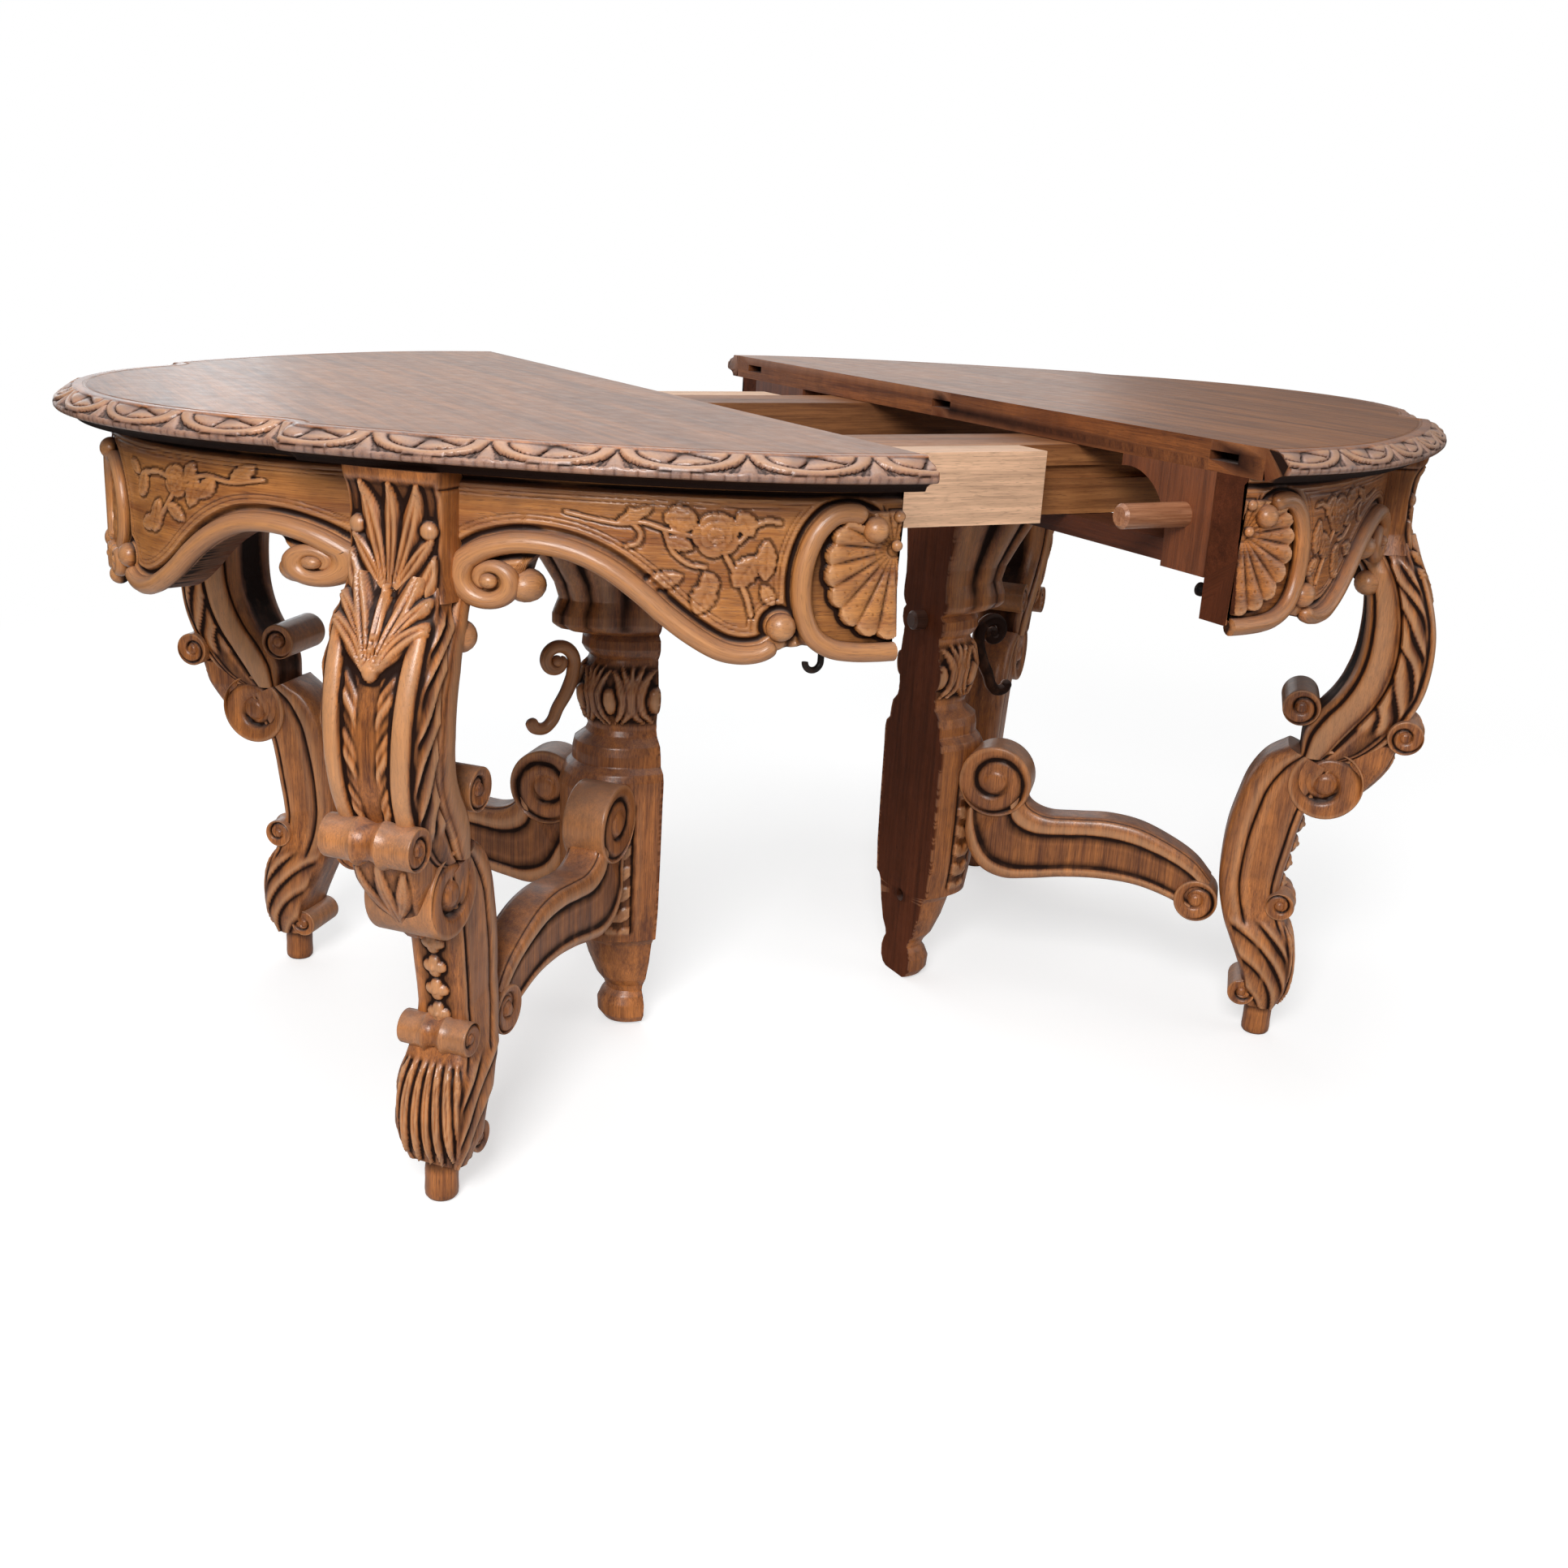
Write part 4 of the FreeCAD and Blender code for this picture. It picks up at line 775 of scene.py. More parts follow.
def carved_oak(name, light, dark):
    """Polished carved oak: grain along each piece, hollows darkened by old polish and painted shade,
    high spots lightened by wear and a painted highlight, a painted sheen with dust on upward faces,
    and bare rears.
    """
    _, tree = new_material(name)
    c = colours()
    place = node(tree, "ShaderNodeAttribute", attribute_name="grain").outputs["Vector"]
    finish = node(tree, "ShaderNodeAttribute", attribute_name="finish").outputs["Vector"]
    split = node(tree, "ShaderNodeSeparateXYZ", {0: finish}).outputs
    grain = shared(tree, "oak_grain", place)
    age = shared(tree, "oak_age", node(tree, "ShaderNodeTexCoord").outputs["Object"])
    wood = mixed(tree, grain["Tone"], rgba(dark), rgba(light))
    stain = maths(tree, "MULTIPLY_ADD", age["Stain"], 2.2, -0.85, clamp=True)
    wood = mixed(tree, maths(tree, "MULTIPLY", stain, 0.55), wood, rgba(dark, 0.75))
    inner = mixed(tree, grain["Tone"], rgba(c.oak_inner, 0.55), rgba(c.oak_inner, 1.3))
    wood = mixed(tree, split[1], wood, inner)
    # The top's sloping band turns pale: wax with a painted sheen.
    wood = mixed(tree, maths(tree, "MULTIPLY", split[2], 0.75), wood, rgba(c.pale_wax_and_sheen))
    wood = mixed(tree, maths(tree, "MULTIPLY", grain["Pores"], 0.45), wood, rgba(c.dark_polish_and_shade))
    patina = maths(tree, "MULTIPLY_ADD", age["Mottle"], 2.4, -1.0, clamp=True)
    wood = mixed(tree, maths(tree, "MULTIPLY", patina, 0.38), wood, rgba(dark, 0.5))
    # Painted shade: the hollows darken towards the recess colour, with old polish, in patches by the
    # mottle.
    dirt_and_shade_mottle = maths(tree, "MULTIPLY_ADD", age["Mottle"], 0.8, 0.85)
    deep = maths(tree, "MULTIPLY", maths(tree, "MAXIMUM", split[0], 0.0), dirt_and_shade_mottle, clamp=True)
    wood = mixed(tree, deep, wood, rgba(c.dark_polish_and_shade))
    # Raised places lighten towards the worn colour: wear and a painted highlight.
    raised = maths(tree, "MAXIMUM", maths(tree, "MULTIPLY", split[0], -1.0), 0.0)
    rubbed_and_highlight = maths(tree, "MULTIPLY", raised, 0.50)
    wood = mixed(tree, rubbed_and_highlight, wood, rgba(c.worn_and_highlight))
    # Painted sheen on upward-facing faces, in the pale colour, in patches with dust.
    facing = node(tree, "ShaderNodeNewGeometry").outputs["Normal"]
    upward = node(tree, "ShaderNodeSeparateXYZ", {0: facing}).outputs[2]
    dust_and_sheen = node(tree, "ShaderNodeMapRange", {
        "Value": upward, "From Min": 0.35, "From Max": 0.95, "To Max": 0.30,
    })
    dust_and_sheen_patches = maths(tree, "MULTIPLY_ADD", age["Mottle"], 1.4, 0.2)
    dust_and_sheen = maths(tree, "MULTIPLY", dust_and_sheen.outputs[0], dust_and_sheen_patches, clamp=True)
    wood = mixed(tree, dust_and_sheen, wood, rgba(c.pale_wax_and_sheen))
    rough = maths(tree, "MULTIPLY_ADD", age["Mottle"], 0.2, 0.30)
    rough = maths(tree, "MULTIPLY_ADD", deep, 0.25, rough)
    rough = maths(tree, "MULTIPLY_ADD", split[1], 0.3, rough, clamp=True)
    height = maths(tree, "MULTIPLY_ADD", age["Mottle"], 0.3, grain["Height"])
    polish = maths(tree, "SUBTRACT", 1.0, maths(tree, "MAXIMUM", split[1], deep), clamp=True)
    coat = maths(tree, "MULTIPLY", polish, 0.30)
    shine = maths(tree, "MULTIPLY_ADD", polish, 0.35, 0.10)
    finish_material(tree, wood, rough, height, 0.6, coat, 0.24, shine)


GRAIN_TURNS = {
    "x": (0.0, 0.0, 0.0),
    "y": (0.0, 0.0, -math.pi / 2),
    "z": (0.0, math.pi / 2, 0.0),
}


def plain_wood(name, light, dark, along, bump=0.3, coat=0.1, rough=0.45, offset=(0.0, 0.0, 0.0)):
    """Wood of a piece without carving, on its own place, turned so that the fibres run along."""
    made, tree = new_material(name)
    place = node(tree, "ShaderNodeTexCoord").outputs["Object"]
    mapping = node(tree, "ShaderNodeMapping", {
        "Vector": place, "Rotation": GRAIN_TURNS[along], "Location": offset,
    })
    grain = shared(tree, "oak_grain", mapping.outputs[0])
    age = shared(tree, "oak_age", place)
    wood = mixed(tree, grain["Tone"], rgba(dark), rgba(light))
    wood = mixed(tree, maths(tree, "MULTIPLY", grain["Pores"], 0.4), wood, rgba(dark, 0.45))
    stain = maths(tree, "MULTIPLY_ADD", age["Stain"], 1.8, -0.75, clamp=True)
    wood = mixed(tree, maths(tree, "MULTIPLY", stain, 0.5), wood, rgba(dark, 0.7))
    roughness = maths(tree, "MULTIPLY_ADD", age["Mottle"], 0.2, rough - 0.1)
    finish_material(tree, wood, roughness, grain["Height"], bump, coat, 0.3)
    return made


def iron_material():
    """Blackened iron with rust-brown patches."""
    made, tree = new_material("blackened_iron")
    place = node(tree, "ShaderNodeTexCoord").outputs["Object"]
    noise = node(tree, "ShaderNodeTexNoise", {"Vector": place, "Scale": 160.0, "Detail": 4.0})
    noise = noise.outputs[0]
    rusted = maths(tree, "MULTIPLY_ADD", noise, 2.2, -0.9, clamp=True)
    colour = mixed(tree, rusted, rgba(colours().iron), rgba(srgb(74, 46, 32)))
    bumped = node(tree, "ShaderNodeBump", {"Height": noise, "Strength": 0.5, "Distance": 0.0004})
    shader = node(tree, "ShaderNodeBsdfPrincipled", {
        "Base Color": colour, "Metallic": 0.8,
        "Roughness": maths(tree, "MULTIPLY_ADD", noise, 0.3, 0.35),
        "Normal": bumped.outputs[0],
    })
    node(tree, "ShaderNodeOutputMaterial", {0: shader.outputs[0]})
    return made


# The top


# Rows of the edge's section: where the surface takes the carving's finish, the sloping band's
# first and last one, and how many of the nose carry the teeth. A fine line is cut round the top.
CARVED_ROW = 9
FIRST_BAND_ROW, LAST_BAND_ROW = 13, 29
TOOTH_ROWS = 4
TOP_LINE_IN = 0.0118
BAND_NORMAL = (0.57, 0.82)
MORTISE_HALF = 0.020
MORTISE_DEEP = 0.022
MORTISE_RISE, MORTISE_FALL = 0.0047, 0.0043


def edge_profile():
    """Section of the top's edge as (out, z), from its flat surface round to its underside."""
    z = TABLE_HEIGHT
    low = TOP_UNDER
    surface = [(-0.0150, z)]
    line = [
        (x, z - 0.0011 * math.exp(-(((x + TOP_LINE_IN) / 0.0011) ** 2)))
        for x in np.linspace(-0.0145, -0.0085, 9)
    ]
    round_over = [(-0.0035, z), (-0.0012, z - 0.0002), (0.0006, z - 0.0010)]
    slope = np.linspace(0, 1, LAST_BAND_ROW - FIRST_BAND_ROW + 1)[1:]
    band = [(0.0006 + 0.0170 * t, z - 0.0010 - 0.0118 * t) for t in slope]
    nose = [(0.0190, z - 0.0146), (0.0197, z - 0.0168), (0.0194, z - 0.0190), (0.0180, z - 0.0206)]
    cove = [(0.0150, z - 0.0214), (0.0105, z - 0.0220), (0.0055, z - 0.0235), (0.0015, z - 0.0262)]
    cove.append((-0.0005, low))
    under = [(-0.012, low)]
    return np.array(surface + line + round_over + band + nose + cove + under)


def edge_relief(run, share):
    """Carving of the sloping band: half-round fans of four petals in a smooth border, and darts.

    run is the distance round the top and share runs down the band from 0 to 1. Inside the fan's
    half ellipse the height follows the angle round its middle at the top edge, as petals; its
    border is a smooth ridge, and a dart with a groove each side stands between two fans.
    """
    repeat = sizes().edge_repeat
    x = (run / repeat - np.round(run / repeat)) * repeat
    wide, deep = 0.038, 0.76
    rho = np.hypot(x / wide, share / deep)
    angle = np.arctan2(share / deep, x / wide)
    petal = np.abs(np.sin(angle * 2.5)) ** 0.5
    fan = -0.0020 + 0.0038 * petal * np.clip(rho / 0.7, 0, 1)
    fan = fan - 0.0016 * (petal < 0.42) * (rho > 0.35)
    tips = 0.86 + 0.10 * petal
    inside = step(tips - rho, 0.0, 0.10)
    border = 0.0015 * dome((rho - 1.17) / 0.16)
    away = np.abs(np.abs(x) - repeat / 2)
    dart = 0.0020 * dome(away / (0.001 + 0.007 * share)) - 0.0014
    strokes = groove(away - 0.012 * share - 0.002, 0.0011, 0.0016)
    strokes = strokes + groove(away - 0.017 * share - 0.004, 0.0009, 0.0012)
    outside = np.where(rho < 1.33, border, dart + strokes + groove(rho - 1.37, 0.04, 0.0014))
    height = fan * inside + outside * (1 - inside) + groove(rho - 0.99, 0.028, 0.0016)
    return height * step(share, 0.04, 0.08) * step(1 - share, 0.02, 0.08)


class TABLE_OT_tops(bpy.types.Operator):
    """Two half tops: a carved edge carried round the plan, flat faces, and a mortised split face"""

    bl_idname = "table.tops"
    bl_label = "Tops"

    def execute(self, context):
        materials = bpy.data.materials
        for side in (-1, 1):
            self.make(side, materials["polished_carving"], materials["polished_top"])
        return {"FINISHED"}

    def make(self, side, carved, polished):
        line = outline(1260)
        normal = blurred(left_normals(line), 11, (0,))
        normal /= np.linalg.norm(normal, axis=1)[:, None]
        normal[:, 0] *= step(line[:, 0], 0.01, 0.02)
        run = lengths(line)
        profile = edge_profile()
        first, last = FIRST_BAND_ROW, LAST_BAND_ROW
        number = np.arange(len(profile))[:, None]
        share = np.clip((number - first + 1) / (last - first + 1), 0, 1)
        on_band = (number >= first) * (number <= last)
        carving = edge_relief(run[None], share) * on_band
        lip = (number > last) * (number <= last + TOOTH_ROWS)
        wave = run / 0.0104 * np.pi + 0.9 * np.sin(run / 0.0520 * 2 * np.pi)
        teeth = np.abs(np.sin(wave))[None] ** 0.5
        height = carving + lip * (teeth - 1) * 0.0008
        out = profile[:, :1] + height * BAND_NORMAL[0]
        z = profile[:, 1:] + height * BAND_NORMAL[1] * on_band
        u = line[None, :, 0] + out * normal[None, :, 0]
        v = line[None, :, 1] + out * normal[None, :, 1]
        edge = half(side, u, v, z)
        # Painted shade in the band's hollows, along the incised line, between the teeth and on the
        # cove and underside below the nose; wear and a painted highlight on raised carving and the
        # teeth's tips.
        hollow = hollows(carving, 3, 0.0009) * on_band
        hollow = hollow + 0.9 * groove(profile[:, :1] + TOP_LINE_IN, 0.0016, -1.0)
        hollow = hollow + 0.9 * (number > last + TOOTH_ROWS) + lip * (0.5 - 0.7 * teeth)
        # The band and the teeth are pale, as wax with a painted sheen, less so in their hollows.
        pale = (on_band + lip) * (0.75 - 0.5 * np.clip(hollow, 0, 1))
        hollow, pale = np.clip(hollow, -1, 1), np.clip(pale, 0, 1)
        plain, cut = slice(0, CARVED_ROW + 1), slice(CARVED_ROW, None)
        patches = [
            patch(edge[plain], (v[plain], u[plain], z[plain]), hollow=hollow[plain]),
            patch(edge[cut], (v[cut], u[cut], z[cut]), hollow=hollow[cut], pale=pale[cut], coat=1),
        ]
        wide = v[0, 0]
        mortise = sizes().mortise_place
        breaks = np.array([wide, mortise + MORTISE_HALF, mortise - MORTISE_HALF, MORTISE_HALF, 0.0])
        for level, row, bare in ((TABLE_HEIGHT, 0, 0.0), (TOP_UNDER, -1, 1.0)):
            shares = (breaks / wide)[:, None]
            flat_u, flat_v = shares * u[row], shares * v[row]
            points = half(side, flat_u, flat_v, level)
            patches.append(patch(points, (flat_v, flat_u, 0 * flat_u), bare=bare, coat=int(bare)))
        patches += self.split_face(side, edge, breaks)
        carve(f"top_{half_name(side)}", side, patches, [polished, carved])

    def split_face(self, side, edge, breaks):
        """The flat face at the split: a grid with three pockets, and a cap at each end."""
        middle = (TABLE_HEIGHT + TOP_UNDER) / 2
        levels = np.array([TABLE_HEIGHT, middle + MORTISE_RISE, middle - MORTISE_FALL, TOP_UNDER])
        v = np.concatenate([breaks, -breaks[-2::-1]])
        holes = (1, 3, 4, 6)
        patches = []
        for column in range(len(v) - 1):
            for row in range(3):
                vv, zz = np.meshgrid(v[column:column + 2], levels[row:row + 2])
                if row == 1 and column in holes:
                    rim = np.stack([vv.ravel(), zz.ravel()], -1)[[0, 1, 3, 2, 0]]
                    shared_wall = {3: 1, 4: 3}.get(column)
                    for start in range(4):
                        if start == shared_wall:
                            continue
                        wall = half(side, np.array([[0], [MORTISE_DEEP]]), *rim[start:start + 2].T)
                        # Painted shade on the pockets' walls and bottoms.
                        patches.append(patch(wall, hollow=0.8, bare=1.0, coat=1))
                    bottom = half(side, MORTISE_DEEP, vv, zz)
                    patches.append(patch(bottom, hollow=1.0, bare=1.0, coat=1))
                else:
                    points = half(side, 0, vv, zz)
                    patches.append(patch(points, (vv, zz, 0 * vv), bare=0.6, coat=1))
        for end in (0, -1):
            line = edge[:, end]
            flat = line[0] * (1, 1, 0)
            back = np.stack([flat + (0, 0, levels[2]), flat + (0, 0, levels[1])])
            loop = np.concatenate([line, back])
            face = np.arange(len(loop))[None]
            patches.append(patch(loop[None], bare=0.6, faces=[face], coat=1))
        return patches


# The aprons


SIDE_EDGE = (
    (0.000, 0.5865), (0.047, 0.5860), (0.084, 0.5920), (0.125, 0.5835), (0.150, 0.5850),
    (0.175, 0.5960), (0.200, 0.6130), (0.225, 0.6360), (0.250, 0.6530), (0.280, 0.6630),
    (0.294, 0.6560), (0.301, 0.6360), (0.309, 0.6210), (0.321, 0.6150), (0.334, 0.6180),
    (0.348, 0.6270), (0.3915, 0.6150),
)
SIDE_RIB = (
    (0.107, 0.5960), (0.118, 0.5885), (0.134, 0.5860), (0.152, 0.5895), (0.172, 0.6010),
    (0.193, 0.6175), (0.215, 0.6380), (0.240, 0.6570), (0.268, 0.6690), (0.298, 0.6720),
    (0.322, 0.6660), (0.338, 0.6550),
)
SIDE_SCROLL = (0.3210, 0.6380)
# Balls of an apron: distance along it, height, radius, how proud and how much taller than round.
SIDE_DROP = (0.1035, 0.6110, 0.0125, 0.002, 0.9)
SIDE_BALLS = ((*SIDE_SCROLL, 0.0066, 0.007), (0.2990, 0.6330, 0.0150, -0.014, 1.3), SIDE_DROP)
SHELL_BALLS = (
    (0.0260, 0.6940, 0.0115, 0.003), (0.0050, 0.7050, 0.0052, 0.004), (0.0055, 0.6800, 0.0050, 0.004),
)
# A rib's radius, as shares of the rib size, at these shares of its length.
RIB_SHARES = (0, 0.12, 0.70, 0.90, 1)
SIDE_SWELL = (0.85, 1.0, 1.05, 0.80, 0.45)
END_SWELL = (0.85, 1.0, 1.0, 0.78, 0.45)
SIDE_FRAME = (
    (0.0340, 0.7030), (0.0470, 0.7080), (0.0640, 0.7050), (0.0780, 0.6900), (0.0860, 0.6680),
    (0.0880, 0.6450), (0.0850, 0.6220), (0.0760, 0.6030), (0.0600, 0.5920), (0.0400, 0.5880),
    (0.0180, 0.5870), (0.0000, 0.5870),
)
END_EDGE = (
    (0.000, 0.5770), (0.030, 0.5800), (0.060, 0.5830), (0.096, 0.5800), (0.125, 0.5900),
    (0.150, 0.6070), (0.175, 0.6290), (0.200, 0.6460), (0.222, 0.6550), (0.234, 0.6550),
    (0.243, 0.6470), (0.251, 0.6330), (0.259, 0.6210), (0.268, 0.6165), (0.276, 0.6180),
    (0.286, 0.6220), (0.3150, 0.6100),
)
END_RIB = (
    (0.052, 0.5940), (0.062, 0.5860), (0.078, 0.5830), (0.096, 0.5845), (0.118, 0.5930),
    (0.142, 0.6090), (0.166, 0.6310), (0.190, 0.6500), (0.214, 0.6620), (0.240, 0.6640),
    (0.262, 0.6570), (0.278, 0.6440),
)
END_SCROLL = (0.2620, 0.6330)
END_VOLUTE = (0.0190, 0.5960)
END_BOW = (
    (0.0270, 0.6080), (0.0400, 0.6250), (0.0440, 0.6480), (0.0380, 0.6720), (0.0240, 0.6900),
    (0.0080, 0.6980),
)
END_DROP = (0.0500, 0.6060, 0.0120, 0.002, 0.9)
END_BALLS = ((*END_SCROLL, 0.0058, 0.006), (0.2500, 0.6240, 0.0130, -0.012, 1.3), END_DROP)
END_MIDDLE_BALLS = ((0.0, 0.7020, 0.0110, 0.003), (0.0, 0.5780, 0.0100, 0.002))
PANEL_TOP = 0.7255
SIDE_PANEL_END, END_PANEL_END = 0.3740, 0.3040
SIDE_RUN, END_RUN = 0.3915, 0.3150
SHELL_FOCUS = (0.004, 0.676)
FAN_FOCUS_HIGH = 0.6750
SIDE_STEMS = (
    (
        (0.268, 0.7000), (0.250, 0.6960), (0.230, 0.6930), (0.212, 0.6950), (0.196, 0.6900),
        (0.178, 0.6860),
    ),
    ((0.220, 0.6940), (0.214, 0.6860), (0.216, 0.6780), (0.224, 0.6740)),
    ((0.140, 0.6820), (0.128, 0.6960), (0.118, 0.7000), (0.108, 0.6990)),
    ((0.150, 0.6700), (0.140, 0.6520), (0.132, 0.6350), (0.128, 0.6200)),
    ((0.196, 0.6880), (0.190, 0.6720), (0.178, 0.6620), (0.166, 0.6600)),
)
SIDE_LEAVES = (
    (0.216, 0.6950, 60, 0.014, 0.004), (0.232, 0.6930, 150, 0.030, 0.005),
    (0.196, 0.6830, 200, 0.022, 0.007), (0.176, 0.7060, 300, 0.020, 0.009),
    (0.141, 0.7070, 240, 0.022, 0.009), (0.146, 0.6880, 60, 0.020, 0.007),
    (0.127, 0.6700, 300, 0.030, 0.011), (0.118, 0.6840, 270, 0.034, 0.009),
    (0.165, 0.6560, 250, 0.020, 0.008), (0.160, 0.6500, 290, 0.032, 0.010),
    (0.182, 0.6520, 340, 0.030, 0.008), (0.120, 0.6460, 240, 0.020, 0.006),
)
END_STEMS = (
    (
        (0.230, 0.7010), (0.205, 0.6960), (0.180, 0.6990), (0.150, 0.6900), (0.120, 0.6950),
        (0.092, 0.6900),
    ),
    ((0.150, 0.6900), (0.138, 0.6740), (0.122, 0.6560), (0.104, 0.6420)),
)
END_LEAVES = (
    (0.205, 0.6960, 40, 0.026, 0.007), (0.190, 0.6980, 230, 0.026, 0.008),
    (0.172, 0.6970, 250, 0.030, 0.009), (0.160, 0.6930, 60, 0.018, 0.007),
    (0.120, 0.6700, 250, 0.034, 0.010), (0.132, 0.6680, 330, 0.026, 0.007),
    (0.112, 0.6500, 200, 0.026, 0.008), (0.100, 0.6940, 240, 0.030, 0.009),
    (0.086, 0.6900, 150, 0.020, 0.006),
)


def board(place, low, run, relief, thick, columns, rows):
    """A carved board: run along it and up it from its lower line, moved out by its relief.

    The lower rim is rounded back, the rear is plain, and strips and end caps join the two.
    """
    a = np.linspace(run[0], run[1], columns)[None]
    bottom = np.interp(a, low[:, 0], low[:, 1])
    share = np.linspace(0, 1, rows)[:, None] ** 1.15
    z = bottom + (TOP_UNDER - bottom) * share
    a = a + 0 * z
    height = relief(a, z)
    near = np.clip(nearest(a, z, low[::2])[0] / 0.008, 0, 1)
    height = height - 0.008 * (1 - dome(1 - near))
    face = place(a, z, height)
    back_rows = np.array([0, rows // 3, rows - 1])
    back = place(a[back_rows], z[back_rows], np.full((3, columns), -thick))
    grain = (a, z, height)
    # Painted shade in the carving's hollows and a painted highlight with wear on its high spots; a
    # little painted shade on the strips and end caps.
    patches = [patch(face, grain, hollow=hollows(height, 3, 0.0017))]
    patches.append(patch(back, (a[back_rows], z[back_rows], 0 * a[back_rows]), bare=1.0))
    for row, bare in ((0, 0.6), (-1, 1.0)):
        strip = np.stack([face[row], back[row]])
        patches.append(patch(strip, hollow=0.3, bare=bare))
    for column in (0, -1):
        loop = np.concatenate([face[:, column], back[::-1, column]])
        patches.append(ring_cap(loop, bare=1.0, hollow=0.25))
    return patches


def framed(distance):
    """Depth beside a frame's edge: a channel next to it, and two fine lines further in."""
    channel = -0.0045 * np.sin(np.pi * np.clip((distance + 0.001) / 0.0085, 0, 1))
    for middle in (0.0112, 0.0150):
        channel = channel + groove(distance - middle, 0.0006, 0.0011)
    return channel


def sprayed(height, spray):
    """A relief with a spray of flowers on it and a thin cut round the spray."""
    outlined = blurred(spray, 2)
    return height + spray - 0.0007 * (outlined > 0.0001) * (spray < 0.0003)


def rib_tube(place, rib, scroll_line, swell, count, rise):
    """The rib along an apron's arch, which runs on into its scroll and thins towards the eye."""
    path = evenly(np.vstack([rib, scroll_line]), count)
    radius = sizes().rib * np.interp(np.linspace(0, 1, count), RIB_SHARES, swell)
    return tube(place, path, radius, rise, proud=0.001)


def shell(a, z):
    """The fan in the cartouche: flutes from a focus to a scalloped edge, over a ground."""
    x, y = a - SHELL_FOCUS[0], z - SHELL_FOCUS[1]
    rho = np.hypot(x, y)
    angle = np.degrees(np.arctan2(y, x))
    phase = (angle + 96) / 17.0
    flute = np.abs(np.sin(np.pi * phase)) ** 0.7
    reach = 0.078 - 0.022 * np.clip((angle + 60) / 90, 0, 1)
    edge = reach * (0.93 + 0.07 * flute)
    inside = step(edge - rho, 0.0, 0.0022)
    swell = -0.0020 + 0.0065 * (rho / reach) ** 1.3 + 0.0026 * flute * np.clip(rho / 0.03, 0, 1)
    beside = (phase - np.round(phase - 0.5) - 0.5) * rho * 0.3
    dots = groove(np.hypot(beside, (rho % 0.013) - 0.0065), 0.0011, 0.0012)
    return inside * (swell + dots) + (1 - inside) * -0.0034


